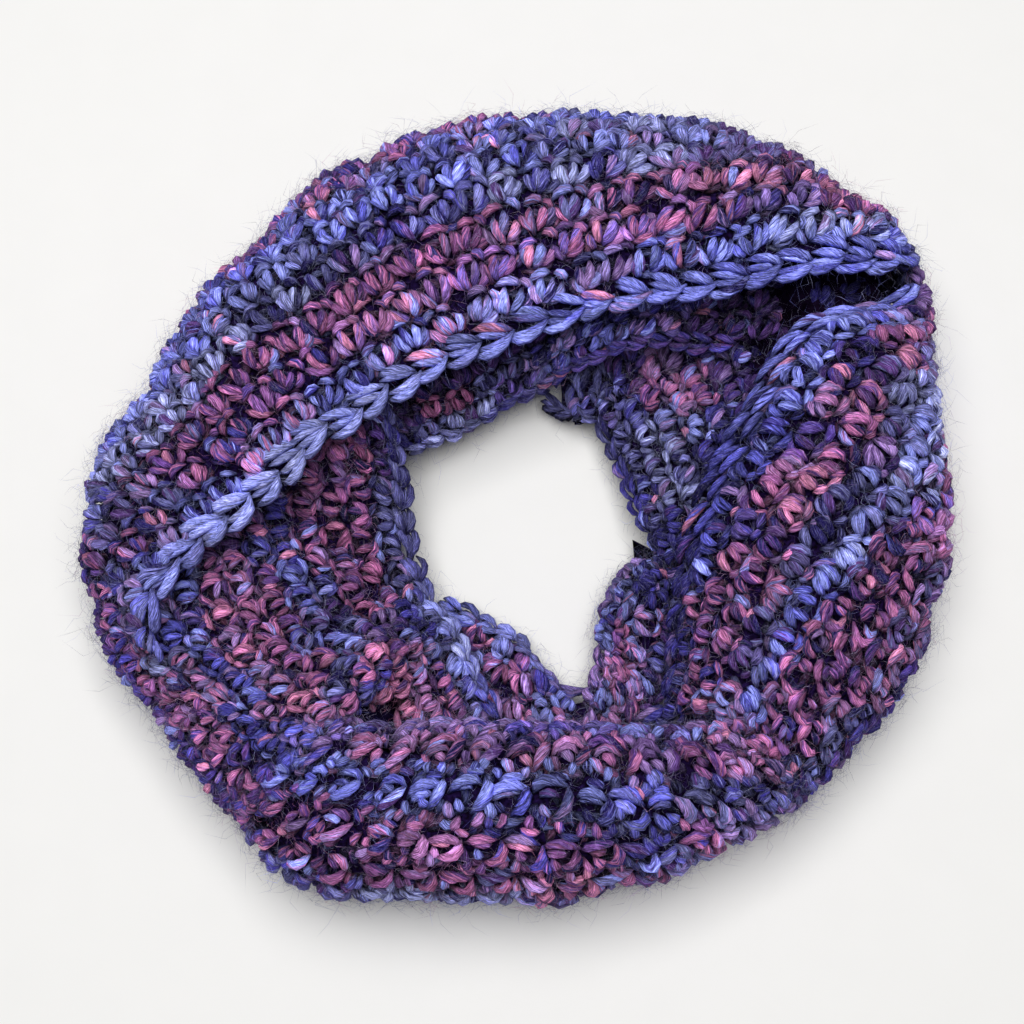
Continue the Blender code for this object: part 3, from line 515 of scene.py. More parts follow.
# Colour runs of each row, from the edge that shows outwards. A run is the percentage of the row
# at which it starts, the yarn's main colour and its second ply.
ROW_YARNS = {
    "top_stretch": (
        "0 slate/blue 12 periwinkle/slate 30 periwinkle/pewter 60 periwinkle/blue"
        " 82 blue/periwinkle",
        "0 mauve/slate 8 indigo/periwinkle 26 periwinkle/rose 45 mauve/periwinkle"
        " 62 periwinkle/blue 76 periwinkle/pewter 88 blue/slate",
        "0 indigo/rose 12 indigo/slate 20 rose/indigo 32 salmon/violet 48 rose/violet"
        " 60 violet/rose 72 mauve/indigo 84 rose/plum 92 slate/rose",
        "0 plum/slate 14 slate/rose 20 rose/plum 44 plum/rose 54 slate/rose 62 salmon/plum"
        " 86 rose/indigo",
        "0 slate/indigo 16 slate/pewter 30 slate/navy 44 slate/indigo 56 slate/pewter"
        " 70 plum/slate 80 plum/wine",
        "0 pewter/slate 18 slate/pewter 28 periwinkle/slate 40 blue/periwinkle"
        " 52 slate/periwinkle 64 slate/mauve 76 plum/slate",
        "0 periwinkle/slate 24 periwinkle/blue 38 periwinkle/indigo 52 blue/slate"
        " 64 slate/pewter 74 slate/plum",
        "0 blue/periwinkle 38 indigo/rose 48 periwinkle/rose 58 blue/periwinkle"
        " 70 periwinkle/slate 80 plum/indigo",
        "0 rose/plum 40 rose/indigo 52 indigo/rose 64 slate/periwinkle 76 indigo/rose",
        "0 plum/rose 45 violet/indigo 60 rose/periwinkle 72 indigo/plum",
        "0 plum/rose 25 rose/indigo 50 plum/indigo 70 rose/navy",
        "0 slate/indigo 40 plum/rose 65 indigo/plum",
        "0 plum/indigo 45 slate/plum 70 rose/plum",
    ),
    "right_stretch": (
        "0 periwinkle/blue 22 blue/periwinkle 50 blue/indigo 72 indigo/navy",
        "0 mauve/plum 14 plum/indigo 20 blue/periwinkle 45 blue/navy 68 rose/navy 82 navy/indigo",
        "0 rose/plum 24 plum/indigo 38 mauve/rose 50 violet/indigo 58 rose/plum",
        "0 slate/plum 30 salmon/plum 40 plum/rose 50 salmon/plum 58 plum/rose 70 rose/indigo"
        " 80 rose/plum",
        "0 slate/pewter 30 mauve/plum 38 slate/navy 60 slate/plum 76 rose/slate",
        "0 periwinkle/ice 30 periwinkle/slate 50 periwinkle/pewter 60 blue/periwinkle 70 blue/slate"
        " 78 rose/slate",
        "0 periwinkle/ice 40 rose/blue 48 rose/navy 60 indigo/rose 68 rose/plum 78 salmon/plum",
        "0 rose/orchid 45 rose/violet 52 plum/rose 62 rose/plum 72 rose/indigo 80 rose/wine",
        "0 rose/mauve 50 slate/plum 58 rose/plum 72 rose/slate 80 slate/navy",
        "0 plum/mauve 56 slate/rose 70 slate/navy",
        "0 slate/plum 50 plum/indigo",
    ),
    "front_stretch": (
        "0 mauve/plum 30 mauve/slate 60 plum/mauve",
        "0 indigo/mauve 14 mauve/indigo 30 mauve/plum 44 indigo/violet 58 periwinkle/violet"
        " 72 indigo/orchid 88 rose/violet",
        "0 mauve/indigo 10 rose/mauve 30 mauve/rose 55 mauve/plum 68 rose/plum 82 mauve/rose",
        "0 periwinkle/blue 12 blue/indigo 22 periwinkle/blue 40 periwinkle/navy 60 slate/blue"
        " 76 slate/navy 88 slate/indigo",
        "0 rose/plum 14 indigo/rose 24 orchid/rose 36 rose/indigo 52 indigo/rose 62 slate/indigo"
        " 70 rose/indigo 80 mauve/slate",
        "0 plum/rose 20 rose/plum 34 plum/rose 44 salmon/plum 60 rose/slate 72 mauve/slate",
        "0 slate/indigo 25 slate/pewter 45 slate/plum 60 slate/mauve",
        "0 indigo/slate 50 slate/plum",
        "0 plum/slate",
    ),
    "left_stretch": (
        "0 slate/indigo 35 slate/navy 55 indigo/slate 62 periwinkle/slate 78 ice/periwinkle"
        " 90 blue/indigo",
        "0 navy/plum 22 navy/slate 40 slate/navy 55 indigo/slate 64 periwinkle/slate"
        " 72 indigo/slate 84 slate/plum",
        "0 plum/rose 22 rose/plum 50 rose/wine 58 indigo/navy 64 periwinkle/slate 72 rose/indigo"
        " 85 plum/rose",
        "0 rose/plum 48 wine/rose 56 plum/navy 64 rose/salmon 72 mauve/rose",
        "0 rose/plum 30 rose/navy 42 indigo/slate 56 plum/navy 62 rose/plum 72 rose/salmon",
        "0 plum/navy 30 navy/indigo 40 periwinkle/indigo 50 slate/plum 60 plum/indigo"
        " 66 salmon/rose",
        "0 plum/navy 34 rose/plum 50 slate/indigo 62 rose/indigo 70 rose/plum",
        "0 navy/plum 36 rose/mauve 48 rose/plum 60 navy/slate 66 plum/rose",
        "0 plum/rose 40 mauve/rose 50 rose/salmon 60 rose/slate",
        "0 indigo/plum 32 periwinkle/blue 50 indigo/blue 57 rose/mauve 62 mauve/blue",
        "0 indigo/rose 32 slate/rose 48 blue/indigo 66 blue/navy",
        "0 slate/plum 32 slate/pewter 46 rose/mauve 54 plum/rose 66 plum/indigo",
        "0 indigo/plum 34 indigo/rose 50 plum/rose",
        "0 plum/indigo",
    ),
    "back_inner_stretch": (
        "0 slate/indigo 14 slate/pewter 32 indigo/slate 60 indigo/violet 85 indigo/plum",
        "0 navy/indigo 12 slate/navy 22 slate/pewter 32 periwinkle/slate 42 slate/violet"
        " 52 indigo/periwinkle 70 indigo/mauve 86 navy/plum",
        "0 plum/navy 14 wine/rose 25 navy/slate 32 plum/navy 42 slate/mauve 55 indigo/navy"
        " 85 navy/plum",
        "0 plum/navy 50 navy/plum",
    ),
    "right_inner_stretch": (
        "0 navy/slate 30 slate/navy 55 navy/indigo 85 indigo/navy",
        "0 indigo/slate 25 slate/violet 45 navy/slate 68 navy/indigo",
        "0 slate/navy 20 violet/plum 30 slate/indigo 40 slate/periwinkle 52 slate/pewter"
        " 62 plum/navy 76 navy/indigo",
        "0 indigo/plum 30 rose/plum 42 periwinkle/slate 52 slate/pewter 64 navy/slate",
        "0 plum/indigo 37 rose/plum 46 mauve/rose 51 slate/periwinkle 60 slate/violet"
        " 68 navy/indigo",
        "0 plum/mauve 44 rose/plum 51 slate/indigo 60 indigo/navy",
        "0 mauve/indigo 50 rose/plum 56 indigo/plum",
        "0 plum/navy",
    ),
    "front_inner_stretch": (
        "0 periwinkle/blue 28 slate/periwinkle 48 mauve/indigo 68 orchid/plum 84 violet/plum",
        "0 slate/periwinkle 5 plum/rose 11 periwinkle/slate 22 rose/indigo 32 indigo/mauve"
        " 45 periwinkle/indigo 72 slate/orchid 86 plum/indigo",
        "0 blue/plum 14 periwinkle/slate 22 plum/rose 32 rose/mauve 50 periwinkle/slate"
        " 62 periwinkle/navy 80 indigo/navy",
        "0 plum/indigo 20 rose/mauve 60 plum/rose 70 periwinkle/plum 78 navy/indigo",
        "0 plum/navy 26 rose/plum 66 periwinkle/rose 76 indigo/navy",
        "0 navy/plum 74 slate/indigo",
    ),
    "crevice": ("0 navy/plum", "0 plum/navy", "0 navy/plum"),
    "pocket": (
        "0 navy/indigo",
        "0 plum/indigo",
        "0 wine/plum 50 navy/indigo",
        "0 plum/rose 50 navy/plum",
        "0 indigo/navy",
    ),
}

# Strands of a stitch: start, middle and end as along, across and up from the stitch's middle, in
# millimetres, then width and how much of the second ply's colour it takes.
STITCHES = {
    "fan": (
        (-0.6, -4.2, -1.0, -3.2, -1.6, 1.2, -4.4, 1.8, -0.8, 3.0, 0.2),
        (-0.2, -4.0, -0.6, -1.7, -0.2, 1.9, -1.5, 3.6, -0.4, 3.2, 0.0),
        (0.4, -4.0, -0.6, 1.8, -0.4, 1.9, 2.1, 3.2, -0.4, 3.2, 0.0),
        (0.9, -4.2, -1.0, 3.7, -2.2, 1.1, 4.5, 1.2, -0.8, 2.9, 0.6),
        (-4.3, 3.0, -1.2, -1.4, 4.9, 0.8, 1.6, 4.2, -0.8, 2.9, 0.8),
        (1.2, 4.6, -1.2, 3.4, 4.4, 0.5, 5.0, 2.4, -1.2, 2.7, 0.9),
        (-4.8, -3.6, -2.6, -3.9, -2.0, -1.2, -4.4, 0.6, -2.6, 2.9, 1.0),
        (-4.6, 0.4, -2.9, -0.4, 1.8, -2.0, 4.0, 0.2, -2.9, 2.8, 0.5),
        (-2.4, -4.8, -2.6, 2.6, -4.0, -1.6, 5.0, -1.2, -2.8, 2.8, 0.4),
    ),
    "scale": (
        (-4.4, -2.0, -1.2, -1.0, -5.2, 1.9, 3.2, -3.4, 0.2, 3.1, 0.0),
        (-3.6, -0.8, -1.6, -0.9, -3.0, 1.1, 2.2, -1.6, -0.4, 2.6, 0.7),
        (3.2, -3.8, 0.0, 5.3, 0.6, 1.8, 1.4, 4.1, -1.0, 3.0, 0.1),
        (1.9, -1.6, -0.6, 3.2, 0.9, 1.1, 0.2, 3.3, -1.3, 2.4, 0.7),
        (-1.9, -0.8, -0.8, -1.0, 0.8, 1.5, -0.2, 2.7, -1.1, 2.6, 0.0),
        (-4.3, -0.6, -1.7, -3.9, 2.0, 0.8, -1.4, 4.2, -1.7, 2.8, 0.9),
        (-4.8, 3.4, -2.7, -2.6, 4.7, -1.2, 0.2, 4.6, -2.7, 2.9, 1.0),
        (-4.6, 2.4, -2.8, 0.2, 2.4, -2.0, 4.6, 2.8, -2.8, 2.8, 0.5),
        (-3.4, -3.6, -2.8, 1.4, -2.6, -2.0, 5.0, -3.4, -2.8, 2.8, 0.6),
    ),
    "pillar": (
        (-0.7, -9.3, -1.3, -0.5, -7.3, 1.3, 0.1, -5.2, -1.0, 2.6, 0.8),
        (2.6, -9.4, -1.3, 3.2, -7.4, 1.5, 2.7, -5.2, -0.9, 2.6, 0.1),
        (-1.4, -4.6, -1.0, 1.2, -5.0, 1.5, 4.0, -4.3, -0.8, 2.7, 0.0),
        (-4.6, 0.8, -1.4, -0.9, -2.7, 1.9, 4.4, -1.0, -0.2, 3.2, 0.1),
        (-3.5, 1.7, -1.8, -0.8, -0.3, 1.0, 2.4, 0.8, -0.6, 2.7, 0.7),
        (4.2, -1.4, -0.2, 4.5, 2.9, 2.0, 1.2, 7.8, -1.3, 3.3, 0.0),
        (-1.7, 2.2, -0.8, -0.6, 3.5, 1.3, 0.9, 4.8, -1.2, 2.7, 0.3),
        (-4.8, 2.6, -1.7, -3.8, 4.9, 0.8, -2.0, 7.8, -1.7, 2.8, 0.9),
        (-5.3, -7.6, -2.9, -3.6, -4.6, -1.8, -4.7, -1.2, -2.9, 3.0, 1.0),
        (-4.4, 6.0, -2.8, 0.0, 6.6, -2.0, 5.0, 5.0, -2.8, 2.9, 0.5),
        (-0.8, -1.6, -2.9, 1.4, 0.9, -2.3, 2.0, 4.6, -2.9, 2.9, 0.6),
        (4.7, -9.0, -2.6, 5.5, -6.4, -1.4, 5.0, -3.4, -2.6, 3.0, 0.9),
        (-2.8, 7.2, -2.4, 0.2, 9.2, -0.9, 3.6, 8.4, -2.2, 3.0, 0.4),
        (4.4, 4.8, -2.6, 5.4, 7.2, -1.4, 4.4, 9.4, -2.6, 2.9, 0.8),
    ),
    "braid": (
        (-6.6, 6.6, -1.6, -1.4, 6.2, 1.9, 4.6, 3.0, 0.2, 3.5, 0.0),
        (-6.2, 4.7, -1.0, -1.4, 4.1, 1.9, 4.0, 2.2, -0.4, 2.6, 0.7),
        (-6.6, -0.6, -1.8, -1.2, -0.7, 1.3, 5.0, 2.6, 0.0, 3.4, 0.1),
        (-6.0, 1.6, -1.6, -1.0, 1.1, 1.0, 4.4, 2.4, -1.0, 2.6, 0.8),
        (-6.2, 0.6, -3.6, 0.0, 0.2, -2.4, 6.0, 0.6, -3.6, 3.0, 0.9),
    ),
    "rope": (
        (-5.6, 5.0, -1.9, -0.4, 4.6, 1.5, 5.2, 1.8, -1.0, 2.8, 0.0),
        (-5.8, 2.0, -1.6, -0.4, 0.6, 1.5, 5.4, -2.4, -1.2, 2.8, 0.6),
        (-6.4, -0.6, -2.2, -0.6, -1.2, 0.2, 5.2, -2.8, -2.2, 2.6, 0.2),
        (-6.0, 5.6, -2.6, 0.0, 5.2, -1.2, 6.0, 3.4, -2.4, 2.8, 0.8),
    ),
}


def linear(hex_colour):
    """sRGB hex colour as linear red, green and blue: each channel above 0.04045 is
    ((c + 0.055) / 1.055) to the power 2.4, and c / 12.92 below."""
    channels = np.array([int(hex_colour[i : i + 2], 16) / 255 for i in (1, 3, 5)])
    low = channels / 12.92
    return np.where(channels > 0.04045, ((channels + 0.055) / 1.055) ** 2.4, low)


# ---------------------------------------------------------------------------------------------
# Settings


def length_setting(name, description, millimetres):
    """A length that the sidebar shows in the scene's units."""
    return bpy.props.FloatProperty(
        name=name,
        description=description,
        default=millimetres * MM,
        min=0,
        unit="LENGTH",
        precision=5,
    )


def colour_setting(name, description, hex_colour):
    """A colour, given as sRGB and kept as linear."""
    return bpy.props.FloatVectorProperty(
        name=name,
        description=description,
        default=linear(hex_colour),
        size=3,
        min=0,
        max=1,
        subtype="COLOR",
    )


class ScarfYarnColours(bpy.types.PropertyGroup):
    """Colours that the self-striping yarn runs through."""

    __annotations__ = {
        name: colour_setting(name.title(), f"Colour of the yarn's {name} runs", colour)
        for name, colour in YARNS.items()
    }


class ScarfStitches(bpy.types.PropertyGroup):
    """Sizes of the crochet."""

    link: length_setting("Link", "Length of one link of the chain along an edge", 9.2)
    depth: length_setting("Depth", "How far the strands' middles lie under the surface", 2.8)
    backing: length_setting("Backing", "How far the backing shell lies under the surface", 5.0)
    wall: length_setting("Wall", "Thickness of the backing shell", 1.4)
    plumpness: bpy.props.FloatProperty(
        name="Plumpness", description="Factor on the strands' width", default=1.0, min=0.3, max=2
    )
    unevenness: bpy.props.FloatProperty(
        name="Unevenness",
        description="How much the strands differ from each other",
        default=1.0,
        min=0,
        max=3,
    )
    seed: bpy.props.IntProperty(name="Seed", description="Seed of the unevenness", default=7)


class ScarfFuzz(bpy.types.PropertyGroup):
    """Loose hairs that stand out from the wool."""

    density: bpy.props.FloatProperty(
        name="Density", description="Hairs on each strand", default=6.3, min=0
    )
    length: length_setting("Length", "Mean length of a hair", 3.4)
    width: length_setting("Width", "Thickness of a hair at its middle", 0.07)
    seed: bpy.props.IntProperty(name="Seed", description="Seed of the hairs", default=11)


class ScarfStage(bpy.types.PropertyGroup):
    """Camera, light and floor."""

    elevation: bpy.props.FloatProperty(
        name="Elevation",
        description="Camera's angle above the floor",
        default=math.radians(78),
        subtype="ANGLE",
    )
    distance: length_setting("Distance", "From the camera to what it looks at", 520)
    lens: bpy.props.FloatProperty(
        name="Lens", description="Focal length, on a sensor 36 mm wide", default=63.0, unit="CAMERA"
    )
    target: bpy.props.FloatVectorProperty(
        name="Target",
        description="Point that the camera looks at",
        default=(-0.0021, -0.0069, 0.035),
        size=3,
        subtype="TRANSLATION",
        unit="LENGTH",
    )
    floor: colour_setting("Floor", "Colour of the floor", "#F2F1EE")
    key: bpy.props.FloatProperty(
        name="Key light", description="Power of the large soft light", default=17.5, unit="POWER"
    )
    fill: bpy.props.FloatProperty(
        name="Fill", description="Strength of the light from all round", default=0.13
    )


# ---------------------------------------------------------------------------------------------
# Surfaces, worked out as the solids are


def between_rows(rows, per_row):
    """Smooth curve (Catmull-Rom) through the rows of a table or grid, per_row steps to a row."""
    rows = np.asarray(rows, float)
    before = np.concatenate([2 * rows[:1] - rows[1:2], rows, 2 * rows[-1:] - rows[-2:-1]])
    at = np.linspace(0, len(rows) - 1, (len(rows) - 1) * per_row + 1)
    row = np.minimum(at.astype(int), len(rows) - 2)
    t = (at - row).reshape((-1,) + (1,) * (rows.ndim - 1))
    p0, p1, p2, p3 = before[row], before[row + 1], before[row + 2], before[row + 3]
    bend = 2 * p0 - 5 * p1 + 4 * p2 - p3
    twist = 3 * p1 - p0 - 3 * p2 + p3
    return 0.5 * (2 * p1 + (p2 - p0) * t + bend * t**2 + twist * t**3)


def named_columns(names, table, per_row):
    """A table's columns by name, with per_row steps to a row."""
    return dict(zip(names, between_rows(table, per_row).T))


def outline_radius(angle):
    """Radius of the ring's widest line, smooth all the way round."""
    known = np.array(OUTLINE, float)
    turns = np.vstack([known - (360, 0), known, known + (360, 0)])
    fine = between_rows(turns, OUTLINE_STEPS)
    return np.interp(np.mod(angle, 360), fine[:, 0], fine[:, 1])


def in_plan(angle, radius):
    """Place in plan: radius times the cosine and the sine of the angle."""
    turned = np.radians(angle)
    return np.stack([radius * np.cos(turned), radius * np.sin(turned)], axis=-1)


def polar(points):
    """Angle in degrees and radius of each point, round the hole's middle."""
    x, y = points[..., 0], points[..., 1]
    return np.degrees(np.arctan2(y, x)), np.hypot(x, y)


def raised(plan, height):
    """Points over places in plan, or directions with their upward part."""
    return np.append(plan, height[..., None], axis=-1)


def unit(vectors):
    """Each vector over its length."""
    return vectors / np.maximum(np.linalg.norm(vectors, axis=-1, keepdims=True), 1e-9)


def quarter_ellipse(tipped, turn):
    """Shares of the way along and down in the part of a quarter ellipse that turns by turn in
    all, where it has turned by tipped."""
    return np.sin(tipped) / np.sin(turn), (1 - np.cos(tipped)) / (1 - np.cos(turn))


def edge_to_crown(section, steps):
    """From each section's edge up to its crown: the part of a quarter ellipse in which the cloth
    turns from level at the crown to turn degrees at the edge."""
    edge = in_plan(section["edge_angle"], section["edge_radius"])
    crown = in_plan(section["crown_angle"], section["crown_radius"])
    turn = np.radians(section["turn"])[:, None]
    tipped = turn * np.linspace(1, 0, steps + 1)
    share, fall = quarter_ellipse(tipped, turn)
    drop = (section["crown_height"] - section["edge_height"])[:, None]
    plan = crown[:, None] + (edge - crown)[:, None] * share[..., None]
    height = section["crown_height"][:, None] - drop * fall
    outward = unit(crown - edge)
    leaning = (np.degrees(turn) - LEAN_START) / (90 - LEAN_START)
    lean = tipped * np.clip(leaning, 0, 1)
    sideways = outward[:, None] * np.sin(lean)[..., None]
    return raised(plan, height), raised(sideways, -np.cos(lean))


def crown_to_table(section):
    """From each section's crown down the ring's side: a quarter ellipse to the rim, then one that
    curls in below the belly, or less of both where the cloth ends on the stretch below."""
    crown = in_plan(section["crown_angle"], section["crown_radius"])
    rim_radius = outline_radius(section["rim_angle"]) - section["rim_inset"]
    rim = in_plan(section["rim_angle"], rim_radius)
    reach = rim - crown
    outward = in_plan(section["rim_angle"], np.ones(len(rim)))
    side_turn = np.radians(END_TURN + (90 - END_TURN) * section["foot"])[:, None]
    tipped = side_turn * np.linspace(0, 1, SIDE_STEPS + 1)[1:]
    share, fall = quarter_ellipse(tipped, side_turn)
    rise = (section["crown_height"] - section["rim_height"])[:, None]
    plan = crown[:, None] + reach[:, None] * share[..., None]
    height = section["crown_height"][:, None] - rise * fall
    side = raised(plan, height)

    foot_share = np.linspace(0, 1, FOOT_STEPS + 1)[1:]
    under = np.radians(FOOT_TURN * foot_share)[None] * section["foot"][:, None]
    tucked = TUCK * (1 - np.cos(under))
    foot_plan = rim[:, None] - outward[:, None] * tucked[..., None]
    foot_height = 1 - np.sin(under) / np.sin(np.radians(FOOT_TURN))
    foot_height *= section["rim_height"][:, None]
    foot_height -= (1 - section["foot"][:, None]) * foot_share * END_LENGTH
    foot = raised(foot_plan, foot_height)

    facing = np.concatenate([tipped, np.repeat(side_turn, FOOT_STEPS, axis=1)], axis=1)
    widening = (FOOT_WIDTH / CLOTH - 1) * section["foot"][:, None] * foot_share
    width = np.concatenate([np.ones(tipped.shape), 1 + widening], axis=1)
    sideways = -outward[:, None] * (np.sin(facing) * width)[..., None]
    return np.concatenate([side, foot], axis=1), raised(sideways, -np.cos(facing))


def crown_to_end(section, steps):
    """From an inner stretch's crest on to its hidden end, straight in plan and rising late."""
    crown = in_plan(section["crown_angle"], section["crown_radius"])
    end = in_plan(section["end_angle"], section["end_radius"])
    share = np.linspace(0, 1, steps + 1)[1:]
    plan = crown[:, None] + (end - crown)[:, None] * share[None, :, None]
    rise = (section["end_height"] - section["crown_height"])[:, None]
    height = section["crown_height"][:, None] + rise * share**END_RISE
    return raised(plan, height), raised(0 * plan, 0 * height - 1)


class Room:
    """Lowest height of the walls over each bin of angle and radius, and the innermost radius of
    the ring's side in each angle bin and band of height."""

    def __init__(self):
        angles = int(360 / ANGLE_BIN)
        self.ceiling = np.full((angles, int(MOST_RADIUS / RADIUS_BIN)), np.inf)
        self.reach = np.full((angles, len(SIDE_BANDS)), MOST_RADIUS)

    def bins_of(self, points):
        angle, radius = polar(points)
        angle_bin = np.floor(angle / ANGLE_BIN).astype(int) % len(self.ceiling)
        return angle_bin, (radius / RADIUS_BIN).astype(int)

    def take(self, outside, inside, kept):
        """Count in a wall, given as the grids of its two faces."""
        for share in (0, 0.5, 1):
            middle = outside * (1 - share) + inside * share
            used = np.where(kept[..., None], middle, np.nan)
            points = finer(used, SAMPLES_PER_STEP).reshape(-1, 3)
            points = points[~np.isnan(points[:, 2])]
            _, radius = polar(points)
            beside = (radius > SIDE_START) & (points[:, 2] < SIDE_BANDS[0][1])
            angle_bin, radius_bin = self.bins_of(points)
            over = (angle_bin[~beside], radius_bin[~beside])
            np.minimum.at(self.ceiling, over, points[~beside, 2])
            for band, (low, _) in enumerate(SIDE_BANDS):
                level = beside & (points[:, 2] >= low)
                np.minimum.at(self.reach[:, band], angle_bin[level], radius[level])


def finer(grid, times):
    """The same grid of points with straight lines filled in between them."""
    for axis in (0, 1):
        count = grid.shape[axis]
        at = np.linspace(0, count - 1, (count - 1) * times + 1)
        low = np.minimum(at.astype(int), count - 2)
        shape = [1, 1, 1]
        shape[axis] = len(at)
        part = (at - low).reshape(shape)
        onward = np.where(part > 0, np.take(grid, low + 1, axis) * part, 0)
        grid = np.where(part < 1, np.take(grid, low, axis) * (1 - part), 0) + onward
    return grid


def with_neighbours(values, combine):
    """Each value combined with those on either side of it, along each axis in turn."""
    for axis in (0, 1):
        margin = [(1, 1) if axis == i else (0, 0) for i in range(values.ndim)]
        padded = np.pad(values, margin, mode="edge")
        count = values.shape[axis]
        shifted = [np.take(padded, np.arange(count) + i, axis) for i in range(3)]
        values = combine(shifted, axis=0)
    return values


def spread(heights):
    """Each takes the lowest height of its neighbours. The rows go all the way round."""
    wrapped = np.concatenate([heights[-1:], heights, heights[:1]])
    return with_neighbours(wrapped, np.min)[1:-1]


def press_down(points, columns, room):
    """A stretch dips under what lies on it, from its edge on for so many columns."""
    pressed = points[:, :columns]
    free = np.minimum(spread(room.ceiling)[room.bins_of(pressed)] - LAYER_GAP, UNDER_HEIGHT)
    free = with_neighbours(with_neighbours(free, np.min), np.mean)
    pressed[..., 2] = np.minimum(pressed[..., 2], free)


def inner_side(points, inward):
    """The wall's inside: the cloth's thickness along inward, more of it upright on a slope."""
    along = np.gradient(points, axis=1)
    level = np.hypot(along[..., 0], along[..., 1])
    slope = np.hypot(level, along[..., 2]) / np.maximum(level, 1e-6)
    upright = np.abs(inward[..., 2]) ** UPRIGHT_POWER
    thickness = CLOTH * (1 + (np.minimum(slope, STEEPEST) - 1) * upright)
    inside = points + inward * thickness[..., None]
    inside[..., 2] = np.maximum(inside[..., 2], 0)
    return inside


def outer_surface(table, per_row, whole, pressed, room):
    """An outer stretch's points, the directions into its wall, and which of its points it keeps:
    only its whole rows go down to the table. A pressed one dips under the stretches above."""
    section = named_columns(OUTER_COLUMNS, table, per_row)
    section["foot"] = np.clip(section["foot"], 0, 1)
    slope, slope_inward = edge_to_crown(section, EDGE_STEPS)
    side, side_inward = crown_to_table(section)
    points = np.concatenate([slope, side], axis=1)
    inward = np.concatenate([slope_inward, side_inward], axis=1)
    kept = np.ones(points.shape[:2], bool)
    if whole:
        kept[: whole[0] * per_row, EDGE_STEPS + 1 :] = False
        kept[whole[1] * per_row + 1 :, EDGE_STEPS + 1 :] = False
    if pressed:
        press_down(points, EDGE_STEPS + 1, room)
    return points, inward, kept


def inner_surface(table, room):
    """An inner stretch's points, directions and points kept. All of it dips under those above."""
    section = named_columns(INNER_COLUMNS, table, INNER_PER_ROW)
    slope, slope_inward = edge_to_crown(section, CREST_STEPS)
    end, end_inward = crown_to_end(section, END_STEPS)
    points = np.concatenate([slope, end], axis=1)
    inward = np.concatenate([slope_inward, end_inward], axis=1)
    press_down(points, points.shape[1], room)
    return points, inward, np.ones(points.shape[:2], bool)


def with_fold(outside, inward, kept, room):
    """The flap carried on round the fold to the right stretch's first section: sections that pass
    evenly from one to the other, each moved outwards by FOLD_BULGE times a half sine wave."""
    onward, onward_inward, _ = outer_surface(*OUTER_STRETCHES["right_stretch"], room)
    share = (np.arange(1, FOLD_SECTIONS) / FOLD_SECTIONS)[:, None, None]
    fold = outside[-1] * (1 - share) + onward[0] * share
    away = unit(fold[..., :2])
    near = np.exp(-np.arange(fold.shape[1]) / EDGE_STEPS)[None, :, None]
    fold[..., :2] += away * FOLD_BULGE * np.sin(np.pi * share) * near
    turned = inward[-1] * (1 - share) + onward_inward[0] * share
    whole = np.ones(fold.shape[:2], bool)
    pairs = ((outside, fold), (inward, turned), (kept, whole))
    return tuple(np.concatenate(pair) for pair in pairs)


@functools.lru_cache(maxsize=None)
def surfaces():
    """Every stretch's cloth, from the top layer down, the room left for the hidden layers, and
    what of the plan is covered. The fold's sections of the flap carry stitches but no backing."""
    room = Room()
    cover = Cover()
    made = {}
    for name, (table, per_row, whole, pressed) in OUTER_STRETCHES.items():
        outside, inward, kept = outer_surface(table, per_row, whole, pressed, room)
        room.take(outside, inner_side(outside, inward), kept)
        unbacked = 0
        if name == "top_stretch":
            unbacked = FOLD_SECTIONS - 1
            outside, inward, kept = with_fold(outside, inward, kept, room)
        bow = BOWS.get(name, STRAIGHT_ROWS)
        made[name] = Cloth(outside, inward, kept, cover.copy(), unbacked, bow)
        cover.take(made[name])
    for name, table in INNER_STRETCHES.items():
        outside, inward, kept = inner_surface(table, room)
        onward = (RIGHT_INNER_ONWARD,) if name == "right_inner_stretch" else ()
        made[name] = Cloth(*inner_surface(table + onward, room), cover.copy())
        room.take(outside, inner_side(outside, inward), kept)
        cover.take(made[name])
    return made, room, cover


class Cover:
    """Which squares of the plan lie under cloth, on a grid of cell millimetres."""

    cell = 2.0
    half = 160.0
    samples = 12

    def __init__(self):
        count = int(2 * self.half / self.cell)
        self.taken = np.zeros((count, count), bool)

    def copy(self):
        made = Cover()
        made.taken = self.taken.copy()
        return made

    def index(self, points):
        at = ((points[..., :2] + self.half) / self.cell).astype(int)
        return at[..., 0], at[..., 1]

    def take(self, cloth):
        points = finer(np.where(cloth.kept[..., None], cloth.outside, np.nan), self.samples)
        points = points.reshape(-1, 3)
        self.taken[self.index(points[~np.isnan(points[:, 2])])] = True

    def deep(self, points, margin):
        """True for the points further than margin inside the covered part."""
        left = self.taken
        for _ in range(int(margin / self.cell)):
            left = left & np.roll(left, 1, 0) & np.roll(left, -1, 0)
            left = left & np.roll(left, 1, 1) & np.roll(left, -1, 1)
        return left[self.index(points)]


def crease_height(points):
    """Sum of the creases: each is its height times a bell curve of the distance to its line."""
    total = np.zeros(points.shape[:-1])
    for start_angle, start_radius, end_angle, end_radius, width, height in CREASES:
        ends = np.array([start_angle, end_angle]), np.array([start_radius, end_radius])
        start, end = in_plan(*ends)
        line = end - start
        share = np.clip((points[..., :2] - start) @ line / (line @ line), 0, 1)
        away = np.linalg.norm(points[..., :2] - start - share[..., None] * line, axis=-1)
        total += height * np.exp(-((away / width) ** 2))
    return total


def side_move(points):
    """How far each point stands out from the ring's side: SIDE_MOVES read at its angle, times a
    share that grows evenly from the radius MOVE_START to MOVE_END."""
    angle, radius = polar(points)
    move = np.interp(angle, *zip(*SIDE_MOVES), period=360)
    return move * np.clip((radius - MOVE_START) / (MOVE_END - MOVE_START), 0, 1)


